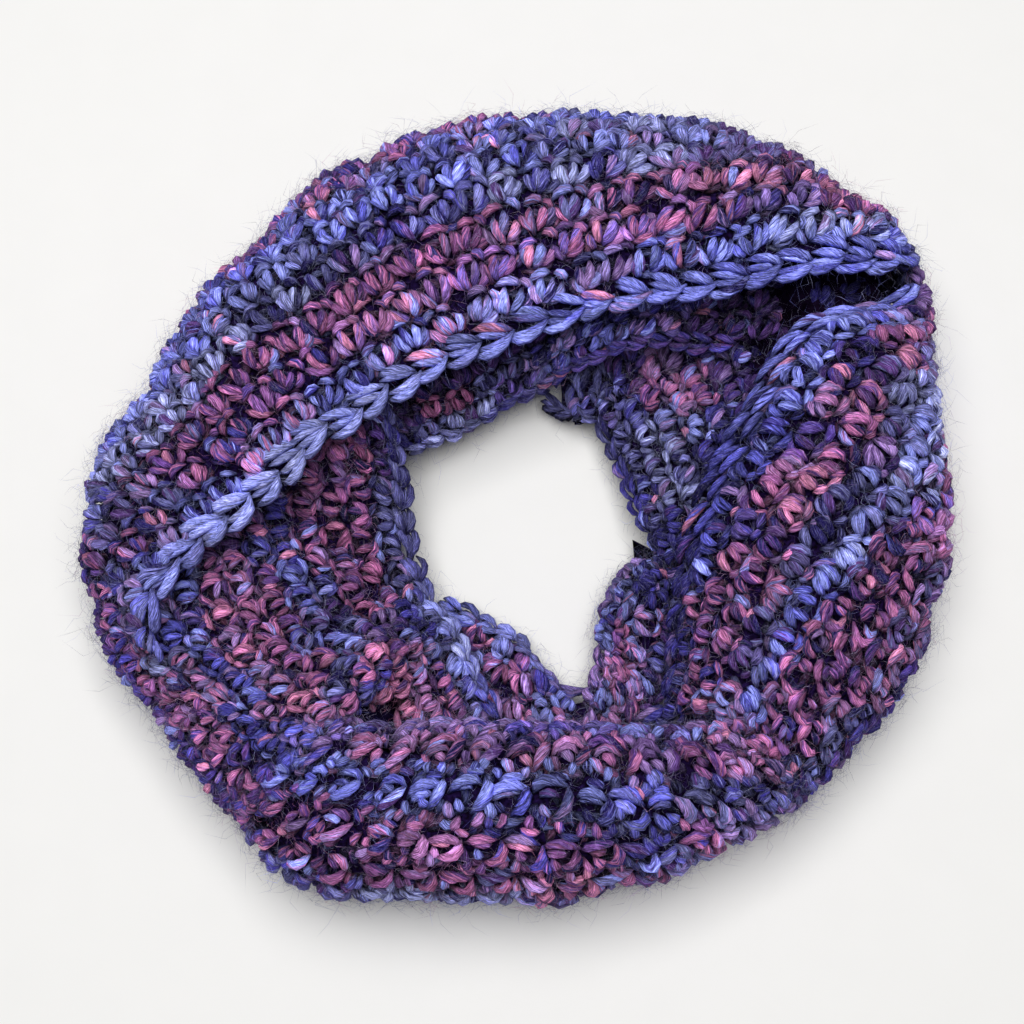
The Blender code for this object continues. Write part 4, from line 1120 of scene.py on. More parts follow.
class Cloth:
    """A stretch's surface, read by how far along its sections and how far from its edge.

    grid holds points for every fine section and every millimetre from the edge, so a stitch keeps
    its size where the cloth bends or widens. sure_column is one that every section reaches, and
    the direction past the edge is read from edge_run millimetres inside it. Two sections count
    as at least least_run millimetres apart.
    """

    finer_rows = 4
    finer_columns = 6
    step = 1.0
    sure_column = 8
    edge_run = 2.0
    least_run = 0.5

    def __init__(self, outside, inward, kept, above, unbacked=0, bow=STRAIGHT_ROWS):
        self.outside, self.inward, self.kept, self.above = outside, inward, kept, above
        self.backed = (len(outside) - 1 - unbacked) * self.finer_rows + 1
        fine = between_rows(outside, self.finer_rows)
        fine = between_rows(fine.swapaxes(0, 1), self.finer_columns).swapaxes(0, 1)
        along = np.diff(fine, axis=1)
        reach = np.cumsum(np.linalg.norm(along, axis=-1), axis=1)
        reach = np.concatenate([np.zeros((len(reach), 1)), reach], axis=1)
        columns = kept.sum(axis=1) - 1
        last = np.repeat(columns, self.finer_rows)[: len(reach)] * self.finer_columns
        self.length = reach[np.arange(len(reach)), last]
        self.whole = reach[:, -1]
        count = int(np.ceil(self.whole.max() / self.step)) + 1
        across = np.minimum(np.arange(count) * self.step, self.whole[:, None])
        # One interpolation for all sections: each is shifted past the end of the one before.
        shift = np.arange(len(reach))[:, None] * (reach.max() + 1)
        flat = (reach + shift).ravel()
        wanted = (across + shift).ravel()
        self.grid = np.stack(
            [np.interp(wanted, flat, fine[..., i].ravel()).reshape(across.shape) for i in range(3)],
            axis=-1,
        )
        self.normal = self.normals()
        self.grid = self.grid + self.normal * crease_height(self.grid)[..., None]
        self.grid[..., :2] += self.normal[..., :2] * side_move(self.grid)[..., None]
        self.normal = self.normals()
        self.onward = np.gradient(self.grid, axis=0)
        run = self.onward[:, min(BOW_COLUMN, self.grid.shape[1] - 1)]
        reach = np.cumsum(np.linalg.norm(run, axis=-1))
        self.bow = np.interp(reach / reach[-1], *zip(*bow))

    def normals(self):
        """Across each other the two directions of the grid give the normal. Its side is the one
        away from the inside."""
        along = np.gradient(self.grid, axis=0)
        across = np.gradient(self.grid, axis=1)
        # Past a section's end all points are one, so the direction is the last one that was not.
        used = np.minimum(np.arange(self.grid.shape[1]), (self.whole[:, None] - 1).astype(int))
        used = np.maximum(used, 0)
        across = np.take_along_axis(across, used[..., None], axis=1)
        normal = unit(np.cross(along, across))
        middle = len(self.outside) // 2
        inward = self.inward[middle, EDGE_STEPS - 1]
        same = normal[middle * self.finer_rows, self.sure_column]
        return normal if same @ inward < 0 else -normal

    def read(self, grid, along, across):
        """Bilinear value of a grid at fractional section numbers and millimetres."""
        rows = np.clip(along, 0, len(grid) - 1.001)
        columns = np.clip(across / self.step, 0, grid.shape[1] - 1.001)
        row, column = rows.astype(int), columns.astype(int)
        u, v = (rows - row)[..., None], (columns - column)[..., None]
        near = grid[row, column] * (1 - v) + grid[row, column + 1] * v
        far = grid[row + 1, column] * (1 - v) + grid[row + 1, column + 1] * v
        return near * (1 - u) + far * u

    def place(self, along, across, up):
        """Point at so many millimetres above the surface, and the normal there. Short of the
        edge and past either end the surface goes straight on."""
        normal = unit(self.read(self.normal, along, across))
        point = self.read(self.grid, along, across)
        past = along - np.clip(along, 0, len(self.grid) - 1)
        point = point + self.read(self.onward, along, across) * past[..., None]
        edge = self.read(self.grid, along, np.zeros_like(across))
        onward = edge - self.read(self.grid, along, np.full_like(across, self.edge_run))
        point = point + unit(onward) * np.maximum(-across, 0)[..., None]
        return point + normal * up[..., None], normal

    def row_places(self, across, pitch, offset, more=0):
        """Stitches pitch apart along the row at across, which draws together and spreads as the
        bow says, and so many more before its start. Returns their section numbers, distances from
        the edge, the row's direction, how far along it they lie as a share, and how far from its
        nearer end in millimetres."""
        number = np.arange(len(self.grid))
        places = across * self.bow
        line = self.read(self.grid, number, places)
        reach = np.concatenate([[0], np.cumsum(np.linalg.norm(np.diff(line, axis=0), axis=1))])
        count = max(int(reach[-1] / pitch), 1)
        wanted = (np.arange(-more, count + 1) + 0.5 - offset) * reach[-1] / count
        wanted = wanted[wanted <= reach[-1] + 1e-6]
        spare = np.minimum(abs(wanted), reach[-1] - wanted)
        before = np.minimum(wanted, 0) / max(reach[1], self.least_run)
        at = np.interp(wanted, reach, number) + before
        slope = np.gradient(places) / np.maximum(np.gradient(reach), self.least_run)
        lean = np.arctan(np.interp(at, number, slope))
        share = wanted / max(reach[-1], 1e-9)
        return at, np.interp(at, number, places), lean, share, spare

    def along_scale(self, along, across):
        """Millimetres to one section number, at these places."""
        sizes = np.linalg.norm(np.gradient(self.grid, axis=0), axis=-1)[..., None]
        return np.maximum(self.read(sizes, along, np.maximum(across, 0))[..., 0], 0.05)


# ---------------------------------------------------------------------------------------------
# Meshes


def new_mesh(name, points, quads, triangles=None, corner_uv=None, colours=None):
    """Mesh in metres from points in millimetres round the hole's middle. corner_uv follows the
    corners of the quads and then of the triangles; colours are given for each point."""
    triangles = np.zeros((0, 3), int) if triangles is None else triangles
    placed = ((points + np.append(HOLE_MIDDLE, 0)) * MM).astype(np.float32)
    corners = np.concatenate([quads.ravel(), triangles.ravel()]).astype(np.int32)
    sizes = np.concatenate([np.full(len(quads), 4), np.full(len(triangles), 3)])
    starts = np.concatenate([[0], np.cumsum(sizes)[:-1]]).astype(np.int32)
    mesh = bpy.data.meshes.new(name)
    mesh.vertices.add(len(placed))
    mesh.vertices.foreach_set("co", placed.ravel())
    mesh.loops.add(len(corners))
    mesh.loops.foreach_set("vertex_index", corners)
    mesh.polygons.add(len(sizes))
    mesh.polygons.foreach_set("loop_start", starts)
    mesh.polygons.foreach_set("use_smooth", np.ones(len(sizes), bool))
    mesh.update(calc_edges=True)
    if corner_uv is not None:
        layer = mesh.uv_layers.new(name="strand")
        layer.data.foreach_set("uv", corner_uv.astype(np.float32).ravel())
    for label, values in (colours or {}).items():
        attribute = mesh.attributes.new(label, "FLOAT_COLOR", "POINT")
        attribute.data.foreach_set("color", values.astype(np.float32).ravel())
    mesh.validate()
    return mesh


def add_piece(name, mesh, material_name):
    """A visible piece of the scarf, which rides on its one body."""
    made = bpy.data.objects.new(name, mesh)
    bpy.context.scene.collection.objects.link(made)
    mesh.materials.append(material(material_name))
    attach(made, "root")
    return made


def strand_tubes(spine, normal, radius):
    """Closed tubes along many spines at once.

    A ring of points goes round each spine point, radius wide along the surface and FLAT times
    that away from it. A point at each end closes the tube.
    Returns the points, quads, triangles and corner coordinates: millimetres along and share of
    the way round.
    """
    sides = STRAND_SIDES
    count, steps = spine.shape[:2]
    tangent = unit(np.gradient(spine, axis=1))
    beside = unit(np.cross(tangent, normal))
    away = np.cross(beside, tangent)
    turn = np.arange(sides) * 2 * np.pi / sides
    wide = (radius[..., None] * np.cos(turn))[..., None] * beside[:, :, None]
    high = (radius[..., None] * np.sin(turn) * FLAT)[..., None] * away[:, :, None]
    rings = spine[:, :, None] + wide + high
    first = spine[:, 0] - tangent[:, 0] * radius[:, :1] * ROUNDING
    last = spine[:, -1] + tangent[:, -1] * radius[:, -1:] * ROUNDING
    points = [rings.reshape(count, -1, 3), first[:, None], last[:, None]]
    points = np.concatenate(points, axis=1)

    step, side = np.meshgrid(np.arange(steps - 1), np.arange(sides), indexing="ij")
    near, far, onward = step * sides, (step + 1) * sides, (side + 1) % sides
    one = np.stack([near + side, far + side, far + onward, near + onward], axis=-1).reshape(-1, 4)
    around = np.arange(sides)
    ahead, base, pole = (around + 1) % sides, (steps - 1) * sides, np.full(sides, steps * sides)
    low = np.stack([pole, around, ahead], axis=-1)
    top = np.stack([pole + 1, base + ahead, base + around], axis=-1)
    shift = (np.arange(count) * points.shape[1])[:, None, None]
    quads = (one[None] + shift).reshape(-1, 4)
    triangles = (np.concatenate([low, top])[None] + shift).reshape(-1, 3)

    reach = np.cumsum(np.linalg.norm(np.diff(spine, axis=1), axis=-1), axis=1)
    reach = np.concatenate([np.zeros((count, 1)), reach], axis=1)
    share = np.stack([side, side, side + 1, side + 1], axis=-1).reshape(-1, 4) / sides
    at = np.stack([step, step + 1, step + 1, step], axis=-1).reshape(-1, 4)
    quad_uv = np.stack([reach[:, at], np.broadcast_to(share, (count,) + share.shape)], axis=-1)
    low = np.stack([around + 0.5, around, around + 1.0], axis=-1)
    share = np.concatenate([low, low[:, [0, 2, 1]]]) / sides
    ends = np.repeat([0, steps - 1], sides)
    at = np.repeat(reach[:, ends][..., None], 3, axis=-1)
    cap_uv = np.stack([at, np.broadcast_to(share, (count,) + share.shape)], axis=-1)
    uv = np.concatenate([quad_uv.reshape(-1, 2), cap_uv.reshape(-1, 2)])
    return points.reshape(-1, 3), quads, triangles, uv


def yarn_runs(rows):
    """Start shares, main colours and second plies of each row's runs."""
    palette = bpy.context.scene.scarf_yarns
    tables = []
    for row in rows:
        words = row.split()
        pairs = [pair.split("/") for pair in words[1::2]]
        main = np.array([tuple(getattr(palette, first)) for first, _ in pairs])
        ply = np.array([tuple(getattr(palette, second)) for _, second in pairs])
        tables.append((np.array(words[::2], float) / 100, main, ply))
    return tables


def stitch_colours(runs, share, chance):
    """Main and second colour of each stitch in a row. Near the start of a run the stitches of
    this one and the last are mixed, as the yarn is."""
    starts, main, ply = runs
    blurred = share + chance.normal(0, RUN_BLUR, len(share))
    run = np.clip(np.searchsorted(starts, blurred, side="right") - 1, 0, len(starts) - 1)
    stray = chance.random(len(share)) < RUN_STRAYS
    other = np.clip(run + chance.integers(-1, 2, len(share)), 0, len(starts) - 1)
    run = np.where(stray, other, run)
    swap = chance.random(len(share)) < PLY_SWAPS
    first = np.where(swap[:, None], ply[run], main[run])
    second = np.where(swap[:, None], main[run], ply[run])
    return first, second


def chain_colours(runs, share, chance):
    """Main and second colour of each link, passing gradually from one run to the next."""
    starts, *plies = runs
    at = share + chance.normal(0, CHAIN_BLUR, len(share))
    return [np.stack([np.interp(at, starts, c) for c in ply.T], axis=-1) for ply in plies]


def stitch_curves(table, lean, size, turned, chance):
    """Strands of many stitches of one kind, each about its stitch's middle: a quadratic curve
    through its start, middle and end, turned, scaled and moved a little at random."""
    uneven = bpy.context.scene.scarf_stitches.unevenness
    count, strands = len(lean), len(table)
    knots = np.broadcast_to(table[:, :9].reshape(strands, 3, 3), (count, strands, 3, 3)).copy()
    own = turned * SPREAD["turn"] * uneven
    angle = lean[:, None, None] + np.radians(chance.normal(0, turned * uneven, (count, 1, 1)))
    angle = angle + np.radians(chance.normal(0, own, (count, strands, 1)))
    size = size * (1 + chance.normal(0, SPREAD["size"] * uneven, (count, strands, 1)))
    x = knots[..., 0] * np.cos(angle) - knots[..., 1] * np.sin(angle)
    y = knots[..., 0] * np.sin(angle) + knots[..., 1] * np.cos(angle)
    knots[..., 0], knots[..., 1] = x * size, y * size
    knots[..., :2] += chance.normal(0, SPREAD["sideways"] * uneven, (count, strands, 1, 2))
    knots[..., 2] += chance.normal(0, SPREAD["up"] * uneven, (count, strands, 1))
    t = np.linspace(0, 1, STRAND_STEPS + 1)[:, None]
    a, b, c = knots[:, :, None, 0], knots[:, :, None, 1], knots[:, :, None, 2]
    # The curve goes through the middle knot, so its control point lies twice as far out.
    control = 2 * b - (a + c) / 2
    local = a * (1 - t) ** 2 + control * 2 * t * (1 - t) + c * t**2
    return local.reshape(count * strands, -1, 3)


def strand_colours(second_share, first, second, calm, chance):
    """Two plies' colours of each strand, with a lot's number in place of alpha. A strand mixes its
    stitch's two colours by its own share of the second, and some take a stray colour instead."""
    palette = bpy.context.scene.scarf_yarns
    count, strands = len(first), len(second_share)
    leaning = 0.5 + (second_share - 0.5) * PLY_CONTRAST
    leaning = leaning + chance.normal(0, SPREAD["ply"], (count, strands))
    mixed = np.clip(leaning, 0, 1)[..., None]
    main = first[:, None] * (1 - mixed) + second[:, None] * mixed
    other = second[:, None] * (1 - mixed) + first[:, None] * mixed
    draw = chance.random((count, strands, 1))
    swap = chance.random((count, strands, 1)) < 0.5
    reached = 0.0
    for stray, often in STRAYS.items():
        taken = (draw >= reached) & (draw < reached + often * calm)
        colour = np.array(getattr(palette, stray))
        main = np.where(taken & swap, colour, main)
        other = np.where(taken & ~swap, colour, other)
        reached += often * calm
    shade = np.exp(chance.normal(MEAN_SHADE, SPREAD["shade"], (count, strands, 1)))
    lot = chance.random((count, strands, 1))
    return [np.concatenate([ply * shade, lot], axis=-1).reshape(-1, 4) for ply in (main, other)]


def strands_of(cloth, stitch, places, size, colours, turned, chance, calm=1.0):
    """Spines, normals, heights, radii and colours of the strands of many stitches of one kind,
    laid on the surface. A strand that the surface squashes, draws out or bends sharply is left
    out. places holds the stitches' section numbers, distances from the edge and directions, size
    is a factor on each, and calm one on how often a strand takes a stray colour."""
    stitches = bpy.context.scene.scarf_stitches
    table = np.array(STITCHES[stitch], float)
    along, across, lean = places
    count, strands = len(along), len(table)
    local = stitch_curves(table, lean, size[:, None, None], turned, chance)
    rows = np.repeat(across, strands)[:, None] + local[..., 1]
    sections = np.repeat(along, strands)[:, None] + 0 * rows
    sections = sections + local[..., 0] / cloth.along_scale(sections, rows)
    up = local[..., 2] - stitches.depth / MM
    spine, normal = cloth.place(sections, rows, up)
    spread = SPREAD["width"] * stitches.unevenness
    width = table[:, 9] * (1 + chance.normal(0, spread, (count, strands)))
    width = (width * stitches.plumpness * size[:, None]).reshape(-1, 1)
    share = np.abs(np.linspace(-1, 1, STRAND_STEPS + 1))
    radius = width / 2 * (1 - NARROWING * share**NARROWING_POWER)
    yarn, ply = strand_colours(table[:, 10], *colours, calm, chance)
    laid, own = (np.linalg.norm(np.diff(line, axis=1), axis=-1).sum(1) for line in (spine, local))
    whole = (laid > own * SHORTEST) & (laid < own * LONGEST)
    whole &= (normal * normal[:, [STRAND_STEPS // 2]]).sum(-1).min(1) > LEAST_ALIKE
    return tuple(values[whole] for values in (spine, normal, up, radius, yarn, ply))


def shaded(colours, up, radius):
    """Each strand's colour at each point of its tube, with painted shade further down, where little
    light gets, and a painted highlight near its top: the share goes from DEEP_SHADE to HIGH_SHADE
    as a smooth step of the height."""
    turn = np.arange(STRAND_SIDES) * 2 * np.pi / STRAND_SIDES
    rings = up[:, :, None] + radius[..., None] * FLAT * np.sin(turn)
    heights = np.concatenate([rings.reshape(len(up), -1), up[:, [0, -1]]], axis=1)
    t = np.clip((heights - DEEPEST) / (HIGHEST - DEEPEST), 0, 1)
    share = DEEP_SHADE + (HIGH_SHADE - DEEP_SHADE) * t * t * (3 - 2 * t)
    made = np.repeat(colours[:, None], heights.shape[1], axis=1)
    made[..., :3] *= share[..., None]
    return made.reshape(-1, 4)


def tip_size(name, share, spare):
    """Factor on stitches' size, which falls off evenly towards the start of a tip that shows."""
    smaller = np.clip(spare / END_FADE, END_SIZE, 1)
    return np.where((share < 0.5) & (name in BARE_TIPS), smaller, 1)


def edge_chain(name, cloth, runs, chance):
    """Strands of the chain of links along a stretch's edge."""
    how = CROCHET[name]
    pitch = bpy.context.scene.scarf_stitches.link / MM * how.chain_size
    along, _, lean, share, spare = cloth.row_places(CHAIN_ROW, pitch, 0)
    if name in INNER_STRETCHES:
        clear = spare > END_CLEAR
        along, lean, share, spare = along[clear], lean[clear], share[clear], spare[clear]
    colours = chain_colours(runs, share, chance)
    size = tip_size(name, share, spare) * how.chain_size
    places = along, np.full(len(along), how.inset), 0 * lean
    return strands_of(
        cloth, how.chain, places, size, colours, CHAIN_TURNED, chance, CHAIN_CALM
    )


def crochet_row(name, cloth, number, across, runs, chance):
    """Strands of one row of stitches, or None where it doesn't show. Every second row lies half
    a stitch on. Stitches deep under other cloth are left out, and so are high ones before the
    stretch's start."""
    how = CROCHET[name]
    more = MORE_AT_START.get(name, 0)
    along, across, lean, share, spare = cloth.row_places(
        across, how.pitch, 0.5 * (number % 2), more
    )
    wobble = chance.normal(0, SPREAD["along"], len(along))
    along = along + wobble / cloth.along_scale(along, across)
    first, second = stitch_colours(runs, share, chance)
    room = np.interp(along, np.arange(len(cloth.length)), cloth.length)
    bow = np.interp(along, np.arange(len(cloth.bow)), cloth.bow)
    place = cloth.read(cloth.grid, along, across)
    covered = cloth.above.deep(place, UNDER_MARGIN)
    shown = np.where(along < 0, place[:, 2] < SIDE_HEIGHT, ~covered)
    shown &= across < room - how.row * END_SHARE
    if not shown.any():
        return None
    size = (how.size * tip_size(name, share, spare) * bow**BOW_SIZE)[shown]
    across = across[shown] + chance.normal(0, SPREAD["across"], shown.sum())
    places = along[shown], across, lean[shown]
    stitch = how.stitches[min(number - bool(how.chain), len(how.stitches) - 1)]
    return strands_of(
        cloth, stitch, places, size, (first[shown], second[shown]), how.turned, chance
    )


def stitch_mesh(name, cloth):
    """All of a stretch's strands: a chain along the edge, then rows of stitches outwards."""
    how = CROCHET[name]
    chance = np.random.default_rng(bpy.context.scene.scarf_stitches.seed + len(name))
    runs = yarn_runs(ROW_YARNS[name])
    parts = [edge_chain(name, cloth, runs[0], chance)] if how.chain else []
    number = len(parts)
    start = how.inset + how.strip
    while start + how.row * 0.5 < (cloth.length / cloth.bow).max():
        row_runs = runs[min(number, len(runs) - 1)]
        parts.append(crochet_row(name, cloth, number, start + how.row / 2, row_runs, chance))
        start += how.row
        number += 1
    strands = (np.concatenate(part) for part in zip(*filter(None, parts)))
    spine, normal, up, radius, yarn, ply = strands
    points, quads, triangles, uv = strand_tubes(spine, normal, radius)
    points[:, 2] = np.maximum(points[:, 2], STITCH_HEIGHT)
    # The colours carry painted shade low on each strand and a painted highlight near its top
    colours = {"yarn": shaded(yarn, up, radius), "ply": shaded(ply, up, radius)}
    return new_mesh(name + "_stitches", points, quads, triangles, uv, colours), spine, normal, yarn


def fuzz_mesh(name, spine, normal, yarn):
    """Loose hairs rooted on the strands. Each is a bent double pyramid: a point in the wool, three
    points round its middle and a point at its tip, off to one side and curling away."""
    settings = bpy.context.scene.scarf_fuzz
    chance = np.random.default_rng(settings.seed + len(name))
    count = int(len(spine) * settings.density)
    strand = chance.integers(0, len(spine), count)
    step = chance.integers(1, spine.shape[1] - 1, count)
    root, up = spine[strand, step], normal[strand, step]
    loose = chance.normal(0, 1, (count, 3))
    side = unit(loose - (loose * up).sum(-1, keepdims=True) * up)
    bend = np.cross(up, side)
    lift = np.clip(chance.gamma(*HAIR_LIFT, (count, 1)), *HAIR_LIFTS)
    longer = np.clip(np.exp(chance.normal(0, HAIR_SPREAD, (count, 1))), *HAIR_LENGTHS)
    reach = settings.length / MM * longer
    root = root + up * chance.uniform(*HAIR_ROOT, (count, 1))
    curl = chance.normal(0, HAIR_CURL, (count, 1))
    middle = root + (side * 0.5 + bend * curl + up * (lift * 0.6 + 0.06)) * reach
    tip = root + (side - bend * curl * 0.4 + up * lift) * reach
    around = np.arange(3) * 2 * np.pi / 3
    ring = np.cos(around)[:, None] * bend[:, None] + np.sin(around)[:, None] * up[:, None]
    ring = middle[:, None] + ring * settings.width / MM / 2
    points = np.concatenate([root[:, None], ring, tip[:, None]], axis=1).reshape(-1, 3)
    points[:, 2] = np.maximum(points[:, 2], HAIR_HEIGHT)
    one = np.array([(0, 2, 1), (0, 3, 2), (0, 1, 3), (4, 1, 2), (4, 2, 3), (4, 3, 1)])
    triangles = (one + np.arange(count)[:, None, None] * 5).reshape(-1, 3)
    mixed = HAIR_PALE + chance.random((count, 1)) ** 2 * HAIR_PALEST
    colour = yarn[strand, :3] * (1 - mixed) + linear(FROST_AND_HIGHLIGHT) * mixed
    colour = np.concatenate([colour, chance.random((count, 1))], axis=-1)
    quads = np.zeros((0, 4), int)
    colours = {"yarn": np.repeat(colour, 5, axis=0)}
    return new_mesh(name + "_fuzz", points, quads, triangles, colours=colours)


def shell_mesh(name, cloth):
    """The cloth's backing, nearly black as painted shade in the gaps between the stitches: the
    surface a few millimetres down, closed into a thin wall.
    """
    settings = bpy.context.scene.scarf_stitches
    depth, wall = settings.backing / MM, settings.wall / MM
    rows = np.unique(np.append(np.arange(0, len(cloth.grid), BACKING_STEP), len(cloth.grid) - 1))
    columns = np.arange(0, cloth.grid.shape[1], BACKING_STEP)
    grid, normal = cloth.grid[np.ix_(rows, columns)], cloth.normal[np.ix_(rows, columns)]
    across = columns * cloth.step
    kept = (across >= BACKING_INSET) & (across < cloth.length[rows, None] - BACKING_INSET * 1.5)
    ends = np.linalg.norm(np.diff(cloth.grid, axis=0), axis=-1).mean(axis=1)
    reach = np.concatenate([[0], np.cumsum(ends)])[rows]
    first, last = BACKING_ENDS.get(name, OTHER_BACKING_ENDS)
    kept &= ((reach > first) & (reach[-1] - reach > last) & (rows < cloth.backed))[:, None]
    outside = grid - normal * depth
    inside = grid - normal * (depth + wall)
    outside[..., 2] = np.maximum(outside[..., 2], LEAST_HEIGHT + wall)
    inside[..., 2] = np.maximum(inside[..., 2], LEAST_HEIGHT)
    number = np.arange(kept.size).reshape(kept.shape)
    quads = np.stack([number[:-1, :-1], number[1:, :-1], number[1:, 1:], number[:-1, 1:]], -1)
    quads = quads[kept[:-1, :-1] & kept[1:, :-1] & kept[1:, 1:] & kept[:-1, 1:]]
    middle = quads[len(quads) // 2]
    corner = outside.reshape(-1, 3)[middle]
    facing = np.cross(corner[1] - corner[0], corner[2] - corner[0])
    if facing @ normal.reshape(-1, 3)[middle[0]] < 0:
        quads = quads[:, ::-1]
    # The rim joins the two faces along the sides that only one quad has.
    ends = np.concatenate([quads[:, [i, (i + 1) % 4]] for i in range(4)])
    code = ends[:, 0] * number.size + ends[:, 1]
    twin = ends[:, 1] * number.size + ends[:, 0]
    border = ends[~np.isin(code, twin)]
    under = number.size
    rim = np.stack([border[:, 1], border[:, 0], border[:, 0] + under, border[:, 1] + under], -1)
    faces = np.concatenate([quads, quads[:, ::-1] + under, rim])
    used, faces = np.unique(faces, return_inverse=True)
    points = np.concatenate([outside.reshape(-1, 3), inside.reshape(-1, 3)])
    return new_mesh(name + "_backing", points[used], faces.reshape(-1, 4))


# ---------------------------------------------------------------------------------------------
# Hidden layers


def innermost(roomy):
    """Radius to which each angle bin's run of room goes in from UNDER_START."""
    start = int(UNDER_START / RADIUS_BIN)
    end = np.zeros((len(roomy), 1), bool)
    steps = np.argmin(np.concatenate([roomy[:, start::-1], end], axis=1), axis=1)
    return (start - steps + 1) * RADIUS_BIN


def most_careful(values, careful, bins):
    """The most careful of so many bins on either side, and then their mean."""
    for combine in (careful, np.mean):
        values = combine([np.roll(values, turn, 0) for turn in range(-bins, bins + 1)], axis=0)
    return values


def hidden_ring():
    """The top of the hidden layers' ring and its flank down to the table, as the solid's."""
    room = surfaces()[1]
    ceiling = spread(room.ceiling)
    in_pocket = np.arange(ceiling.shape[1]) * RADIUS_BIN > POCKET_RADIUS
    roomy = (ceiling > UNDER_LEAST + LAYER_GAP) & (np.isfinite(room.ceiling) | in_pocket)
    bin_angle = ANGLE_BIN * (np.arange(len(ceiling)) + 0.5)
    inner = most_careful(innermost(roomy), np.max, UNDER_HOLE_BINS) + UNDER_HOLE_SIDE
    side = most_careful(room.reach, np.min, UNDER_SIDE_BINS) - SIDE_GAP
    angle = np.linspace(0, 360, UNDER_ANGLES, endpoint=False)
    inner = np.interp(angle, bin_angle, inner, period=360)
    side = np.array([np.interp(angle, bin_angle, level, period=360) for level in side.T]).T
    share = np.linspace(0, 1, UNDER_RADII + 1)
    radius = inner[:, None] + (side[:, :1] - inner[:, None]) * share
    top = raised(in_plan(angle[:, None], radius), 0 * radius)
    open_above = (angle > POCKET_ANGLES[0]) & (angle < POCKET_ANGLES[1])
    most = np.where(open_above, POCKET_HEIGHT, UNDER_HEIGHT)[:, None]
    free = np.minimum(spread(ceiling)[room.bins_of(top)] - LAYER_GAP - UNDER_GAP, most)
    top[..., 2] = spread(free)
    for step, lower in UNDER_ROUNDING:
        top[:, step, 2] -= lower
    top[..., 2] = np.maximum(top[..., 2], UNDER_LEAST / 3)
    flank = raised(in_plan(angle[:, None], side), 0 * side)
    flank[..., 2] = [max(low, 0) for low, _ in SIDE_BANDS]
    return top, np.concatenate([flank, top[:, [0]] * (1, 1, 0)], axis=1)


def plain_cloth(outside, above):
    """A patch of hidden cloth, facing up."""
    down = np.zeros(outside.shape) - (0, 0, 1)
    return Cloth(outside, down, np.ones(outside.shape[:2], bool), above)


def crevice_cloth():
    """The hidden layer at the bottom of the crevice between the front fold and the right stretch:
    part of a cone whose height goes from one value at its inside to another at its outside."""
    angles, radii = np.linspace(*CREVICE_ANGLES, 9), np.linspace(*CREVICE_RADII, 8)
    angle, radius = np.meshgrid(angles, radii, indexing="ij")
    height = np.interp(radius, CREVICE_RADII, CREVICE_HEIGHTS)
    return plain_cloth(raised(in_plan(angle, radius), height), Cover())


def finer_ring(grid):
    """RELIEF_STEPS to each row of a closed ring, smooth across its join too."""
    fine = between_rows(np.concatenate([grid[-2:], grid, grid[:3]]), RELIEF_STEPS)
    return fine[2 * RELIEF_STEPS :][: len(grid) * RELIEF_STEPS]


def under_layers_mesh(top, flank):
    """The hidden layers' ring with a low relief of stitches on its top: bumps whose heights are
    the product of two cosines, one round the ring and one outwards."""
    fine = between_rows(finer_ring(top).swapaxes(0, 1), RELIEF_STEPS).swapaxes(0, 1)
    low = finer_ring(flank)
    low[..., 2] = np.clip(low[..., 2], 0, None)
    angle, radius = polar(fine)
    bumps = np.cos(np.radians(angle) * RELIEF_ROUND) * np.cos(radius * 2 * np.pi / RELIEF_PITCH)
    fine[..., 2] -= RELIEF_HEIGHT * (1 - bumps)
    points = np.concatenate([fine, low], axis=1)
    number = np.arange(points[..., 0].size).reshape(points.shape[:2])
    onward, next_column = np.roll(number, -1, axis=0), np.roll(number, -1, axis=1)
    both = np.roll(onward, -1, axis=1)
    faces = np.stack([number, next_column, both, onward], axis=-1).reshape(-1, 4)
    palette = bpy.context.scene.scarf_yarns
    plum, indigo = np.array(palette.plum), np.array(palette.indigo)
    flat = points.reshape(-1, 3)
    angle, radius = polar(flat)
    red = np.exp(-(((angle - RED_ANGLE) / RED_WIDTH) ** 2))[:, None]
    wave = radius / STRIPE_RADIUS + angle / STRIPE_ANGLE
    stripe = (0.5 + 0.5 * np.sin(wave))[:, None]
    colour = plum * stripe + indigo * (1 - stripe)
    # Painted shade: the yarn keeps only a share of its colour, as the layers lie under the others
    colour = colour * HIDDEN_SHADE_SHARE * (1 - red) + plum * RED_SHARE * red
    colour = np.append(colour, np.ones((len(colour), 1)), axis=-1)
    return new_mesh("under_layers_cloth", flat, faces, colours={"yarn": colour})


# ---------------------------------------------------------------------------------------------
# Materials


def set_socket(tree, socket, value):
    """A socket takes a plain value, or a link from an output or from a node's first live one."""
    if isinstance(value, bpy.types.Node):
        value = next(output for output in value.outputs if output.enabled)
    if isinstance(value, bpy.types.NodeSocket):
        tree.links.new(value, socket)
    else:
        socket.default_value = value


def add_node(tree, kind, *inputs, **settings):
    """Add a node of a kind, with its settings and links. settings go by name to its properties
    and sockets, and inputs to its live sockets in their order."""
    node = tree.nodes.new("ShaderNode" + kind)
    for name, value in settings.items():
        if name in node.inputs:
            set_socket(tree, node.inputs[name], value)
        else:
            setattr(node, name, value)
    for socket, value in zip([socket for socket in node.inputs if socket.enabled], inputs):
        set_socket(tree, socket, value)
    return node


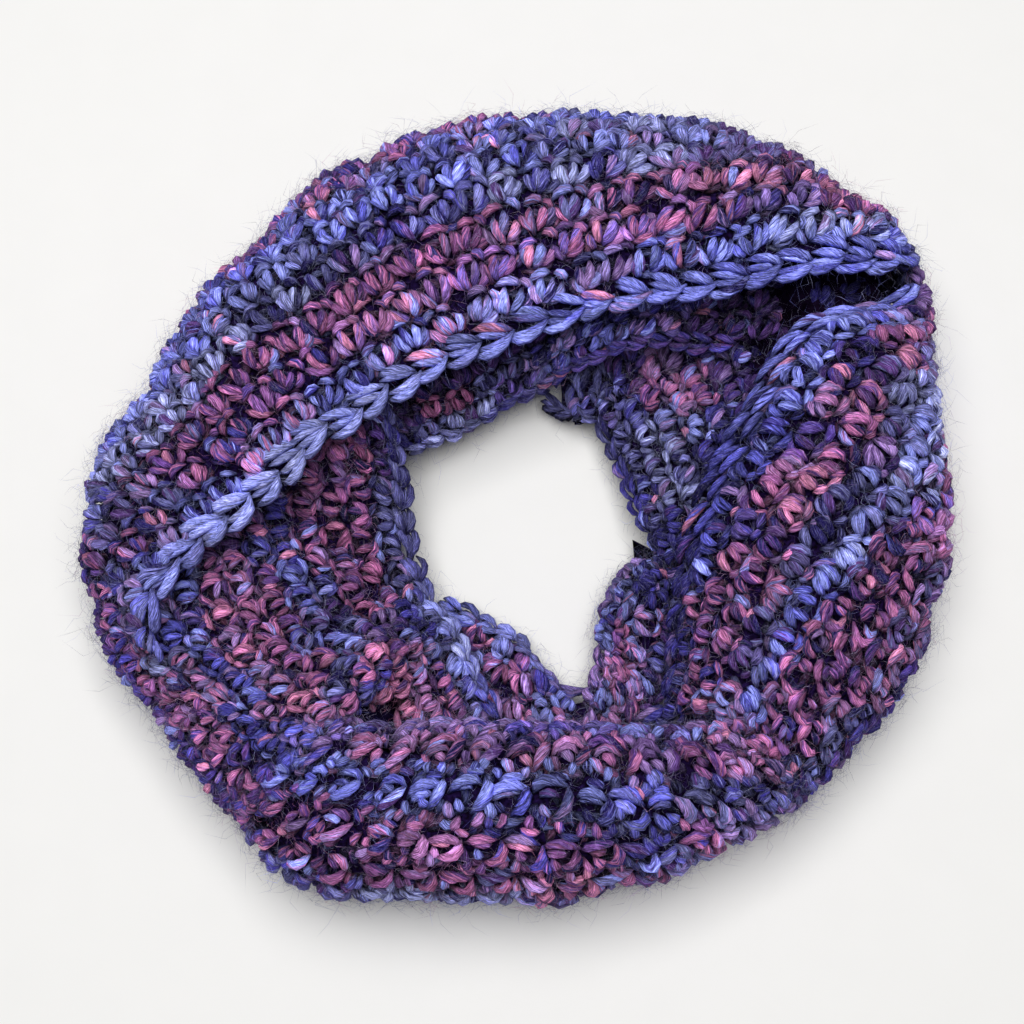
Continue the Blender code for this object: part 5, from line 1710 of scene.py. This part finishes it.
def marled_wool(add):
    """Two-ply marled wool, crocheted: matt, with a soft sheen and fine fibres along the strand.

    The plies wind round the strand once in PLY_TURN millimetres, so a second colour shows as
    slanting bands. Fibres are 0.02 mm thick, too fine to show, and are drawn as streaks 0.3 mm
    wide.
    """
    yarn, ply = (add("Attribute", attribute_name=name) for name in ("yarn", "ply"))
    parts = add("SeparateXYZ", add("UVMap", uv_map="strand"))
    along, around, lot = parts.outputs["X"], parts.outputs["Y"], yarn.outputs["Alpha"]

    # Noise drawn out along the strand, finer round it, slanting, and other in each lot. Strands
    # are about 9 mm round: threads come 1 mm wide and fibres 0.3 mm.
    apart = add("Math", lot, LOTS_APART, operation="MULTIPLY")
    streaks = []
    for stretch, slant, fineness, detail in STREAKS.values():
        drawn = add("Math", along, stretch, operation="MULTIPLY")
        finer_round = add("Math", around, fineness, operation="MULTIPLY")
        across = add("Math", along, slant, finer_round, operation="MULTIPLY_ADD")
        spot = add("CombineXYZ", drawn, across, apart)
        streaks.append(add("TexNoise", spot, Scale=1.0, Detail=detail, Roughness=0.7))
    threads, fibres = streaks

    turns = add("Math", along, 1 / PLY_TURN, around, operation="MULTIPLY_ADD")
    turns = add("Math", turns, lot, operation="ADD")
    angle = add("Math", turns, 2 * math.pi, operation="MULTIPLY")
    wave = add("Math", add("Math", angle, operation="SINE"), 0.7, -2.1, operation="MULTIPLY_ADD")
    share = add("Math", threads, 5.0, wave, operation="MULTIPLY_ADD", use_clamp=True)
    colour = add("Mix", share, yarn, ply, data_type="RGBA")
    # The streaks scale the colour: the fibres' own tone, and also painted shade in the low grooves
    # and painted highlight on the raised fibres, as the bump below is made of the same noise
    for noise, *levels in ((fibres, 0.36, 0.62, 0.25, 1.8), (threads, 0.35, 0.65, 0.75, 1.3)):
        shade = add("MapRange", noise, *levels)
        colour = add("VectorMath", colour, shade, operation="SCALE")

    # Stray fibres lie across the strands as thin curls, where this noise is near its middle.
    place = add("TexCoord").outputs["Object"]
    curls = add("TexNoise", place, Scale=700.0, Detail=2.0, Distortion=1.2)
    near = add("Math", curls, 0.5, operation="SUBTRACT")
    near = add("MapRange", add("Math", near, operation="ABSOLUTE"), 0.0, 0.035, 1.0, 0.0)
    crossing = add("Math", near, 0.09, operation="MULTIPLY")
    colour = add("Mix", crossing, colour, (*linear(FROST_AND_HIGHLIGHT), 1), data_type="RGBA")
    # Painted highlight: the highest fibres shine, paler than the dye, but not deep down, where the
    # dye is shaded.
    highlight_tint = tuple(0.3 * linear(FROST_AND_HIGHLIGHT))
    pale = add("VectorMath", colour, (1.3, 1.3, 1.3), highlight_tint, operation="MULTIPLY_ADD")
    blue = add("SeparateColor", yarn).outputs["Blue"]
    lit = add("MapRange", fibres, 0.54, 0.7, 0.0, 0.7)
    lit = add("Math", lit, add("MapRange", blue, 0.02, 0.12, 0.1, 1.0), operation="MULTIPLY")
    height = add("Math", fibres, 0.6, threads, operation="MULTIPLY_ADD")
    return {
        "Base Color": add("Mix", lit, colour, pale, data_type="RGBA"),
        "Normal": add("Bump", Height=height, Strength=1.0, Distance=0.001),
        "Roughness": 0.8,
        "Specular IOR Level": 0.06,
        "Sheen Weight": 0.04,
        "Sheen Roughness": 0.4,
        "Sheen Tint": (*linear("#8A7CE0"), 1),
    }


def wool_hairs(add):
    """Loose wool fibres: pale and slightly glossy, so they catch the light over dark gaps."""
    yarn = add("Attribute", attribute_name="yarn")
    shade = add("MapRange", yarn.outputs["Alpha"], 0.0, 1.0, 0.7, 1.5)
    return {
        "Base Color": add("VectorMath", yarn, shade, operation="SCALE"),
        "Roughness": 0.7,
        "Specular IOR Level": 0.1,
    }


def painted_shade_backing(add):
    """Painted shade in the gaps between the stitches: a nearly black backing, as little light comes
    back out of them.
    """
    # Clumps of 1.2 mm, about a third of a strand.
    noise = add("TexNoise", add("TexCoord").outputs["Object"], Scale=820.0, Detail=3.0)
    ramp = add("ValToRGB", noise)
    for end, position, colour in zip(ramp.color_ramp.elements, (0.35, 0.75), BACKING_SHADE_COLOURS):
        end.position, end.color = position, (*linear(colour), 1)
    return {
        "Base Color": ramp,
        "Normal": add("Bump", Height=noise, Strength=1.0, Distance=0.001),
        "Roughness": 0.95,
        "Specular IOR Level": 0.05,
    }


def hidden_wool(add):
    """Crocheted wool of the hidden layers: dark plum and indigo, with soft clumps of 3 mm that
    stand for the strands of stitches out of the light."""
    place = add("TexCoord").outputs["Object"]
    noise = add("TexNoise", place, Scale=300.0, Detail=4.0, Roughness=0.65)
    shade = add("MapRange", noise, 0.35, 0.65, 0.35, 1.5)
    yarn = add("Attribute", attribute_name="yarn")
    return {
        "Base Color": add("VectorMath", yarn, shade, operation="SCALE"),
        "Normal": add("Bump", Height=noise, Strength=1.0, Distance=0.0015),
        "Roughness": 0.9,
        "Specular IOR Level": 0.05,
    }


def white_board(add):
    """Studio table in matt white board: very pale, without any gloss."""
    colour = np.array(bpy.context.scene.scarf_stage.floor)
    noise = add("TexNoise", add("TexCoord").outputs["Object"], Scale=60.0, Detail=4.0)
    darker = (*(colour * 0.97), 1)
    return {
        "Base Color": add("Mix", noise, darker, (*colour, 1), data_type="RGBA"),
        "Roughness": 0.95,
    }


MATERIALS = {
    "Crocheted marled wool": marled_wool,
    "Loose wool fibres": wool_hairs,
    # The backing's material paints the shade in the gaps between stitches
    "Matted wool backing": painted_shade_backing,
    "Crocheted wool in shade": hidden_wool,
    "Matt white board": white_board,
}


def material(name):
    """The material of this name, made when it is first asked for. Its function adds its nodes and
    returns what its shader's sockets take."""
    made = bpy.data.materials.get(name)
    if made is None:
        made = bpy.data.materials.new(name)
        made.use_nodes = True
        tree = made.node_tree
        for socket, value in MATERIALS[name](functools.partial(add_node, tree)).items():
            set_socket(tree, tree.nodes["Principled BSDF"].inputs[socket], value)
    return made


# ---------------------------------------------------------------------------------------------
# Pieces


def add_stretch(name):
    """Backing, stitches and hairs of one stretch; the backing takes the place of the stretch's
    solid, which is hidden.
    """
    cloth = surfaces()[0][name]
    # The backing is nearly black: painted shade in the gaps between the stitches
    backing = add_piece(name + "_backing", shell_mesh(name, cloth), "Matted wool backing")
    mesh, *strands = stitch_mesh(name, cloth)
    stitches = add_piece(name + "_stitches", mesh, "Crocheted marled wool")
    fuzz = add_piece(name + "_fuzz", fuzz_mesh(name, *strands), "Loose wool fibres")
    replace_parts(backing, name)


def add_hidden_layers():
    """The ring of hidden layers, and stitches in the pocket and the crevice, where it shows."""
    top, flank = hidden_ring()
    mesh = under_layers_mesh(top, flank)
    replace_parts(add_piece("under_layers_cloth", mesh, "Crocheted wool in shade"), "under_layers")
    pocket = plain_cloth(top[POCKET_SECTIONS, POCKET_COLUMNS], surfaces()[2])
    mesh, *strands = stitch_mesh("pocket", pocket)
    add_piece("pocket_stitches", mesh, "Crocheted marled wool")
    crevice, *_ = stitch_mesh("crevice", crevice_cloth())
    add_piece("crevice_stitches", crevice, "Crocheted marled wool")
    add_piece("pocket_fuzz", fuzz_mesh("pocket", *strands), "Loose wool fibres")


def link(name, data, place=(0, 0, 0), turned=(0, 0, 0)):
    """An object of the stage, in its place."""
    made = bpy.data.objects.new(name, data)
    made.location, made.rotation_euler = place, turned
    bpy.context.scene.collection.objects.link(made)
    return made


# ---------------------------------------------------------------------------------------------
# Operators


class ScarfOperator:
    bl_options = {"REGISTER", "UNDO"}


class SCARF_OT_outer_stretches(ScarfOperator, bpy.types.Operator):
    """Crochet the flap, the left and right sides and the front fold"""

    bl_idname = "scarf.outer_stretches"
    bl_label = "Outer stretches"

    def execute(self, context):
        for name in OUTER_STRETCHES:
            add_stretch(name)
        return {"FINISHED"}


class SCARF_OT_inner_stretches(ScarfOperator, bpy.types.Operator):
    """Crochet the stretches beside the neck hole"""

    bl_idname = "scarf.inner_stretches"
    bl_label = "Inner stretches"

    def execute(self, context):
        for name in INNER_STRETCHES:
            add_stretch(name)
        return {"FINISHED"}


class SCARF_OT_under_layers(ScarfOperator, bpy.types.Operator):
    """Dress the hidden layers, which show only in the pocket and in gaps"""

    bl_idname = "scarf.under_layers"
    bl_label = "Hidden layers"

    def execute(self, context):
        add_hidden_layers()
        return {"FINISHED"}


class SCARF_OT_stage(ScarfOperator, bpy.types.Operator):
    """Set up the floor, the soft light and the camera"""

    bl_idname = "scarf.stage"
    bl_label = "Stage"

    def execute(self, context):
        settings = context.scene.scarf_stage
        camera = bpy.data.cameras.new("scarf_camera")
        camera.lens, camera.sensor_width = settings.lens, SENSOR
        back = np.array([0, -math.cos(settings.elevation), math.sin(settings.elevation)])
        place = np.array(settings.target) + back * settings.distance
        turned = (math.pi / 2 - settings.elevation, 0, 0)
        context.scene.camera = link("scarf_camera", camera, place, turned)

        mesh = bpy.data.meshes.new("floor")
        corners = [(x * FLOOR_HALF, y * FLOOR_HALF, 0) for x, y in FLOOR_CORNERS]
        mesh.from_pydata(corners, [], [(0, 1, 2, 3)])
        mesh.materials.append(material("Matt white board"))
        link("floor", mesh)

        light = bpy.data.lights.new("key_light", "AREA")
        light.shape, light.size, light.energy = "SQUARE", LIGHT_SIDE, settings.key
        x, y, z = LIGHT_PLACE / np.linalg.norm(LIGHT_PLACE)
        link("key_light", light, LIGHT_PLACE, (math.acos(z), 0, math.atan2(y, x) + math.pi / 2))
        world = bpy.data.worlds.new("scarf_world")
        world.use_nodes = True
        shade = world.node_tree.nodes["Background"]
        shade.inputs["Color"].default_value = (*linear(WORLD_COLOUR), 1)
        shade.inputs["Strength"].default_value = settings.fill
        context.scene.world = world
        context.scene.view_settings.view_transform = "Standard"
        return {"FINISHED"}


class SCARF_PT_sidebar(bpy.types.Panel):
    """Sizes and colours of the scarf, and the buttons that make its pieces"""

    bl_idname = "SCARF_PT_sidebar"
    bl_label = "Infinity scarf"
    bl_space_type = "VIEW_3D"
    bl_region_type = "UI"
    bl_category = "Scarf"

    def draw(self, context):
        for group in GROUPS:
            settings = getattr(context.scene, group)
            box = self.layout.box()
            for name in settings.__annotations__:
                box.prop(settings, name)
        for operator in OPERATORS:
            self.layout.operator(operator.bl_idname)


GROUPS = {
    "scarf_yarns": ScarfYarnColours,
    "scarf_stitches": ScarfStitches,
    "scarf_fuzz": ScarfFuzz,
    "scarf_stage": ScarfStage,
}
OPERATORS = (
    SCARF_OT_outer_stretches,
    SCARF_OT_inner_stretches,
    SCARF_OT_under_layers,
    SCARF_OT_stage,
)
CLASSES = (*GROUPS.values(), *OPERATORS, SCARF_PT_sidebar)


def register():
    for made in CLASSES:
        bpy.utils.register_class(made)
    for name, group in GROUPS.items():
        setattr(bpy.types.Scene, name, bpy.props.PointerProperty(type=group))


def unregister():
    for name in GROUPS:
        delattr(bpy.types.Scene, name)
    for made in reversed(CLASSES):
        bpy.utils.unregister_class(made)


def main():
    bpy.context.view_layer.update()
    register()
    bpy.ops.scarf.outer_stretches()
    bpy.ops.scarf.inner_stretches()
    bpy.ops.scarf.under_layers()
    bpy.ops.scarf.stage()
    bpy.context.view_layer.update()


if __name__ == "__main__":
    main()
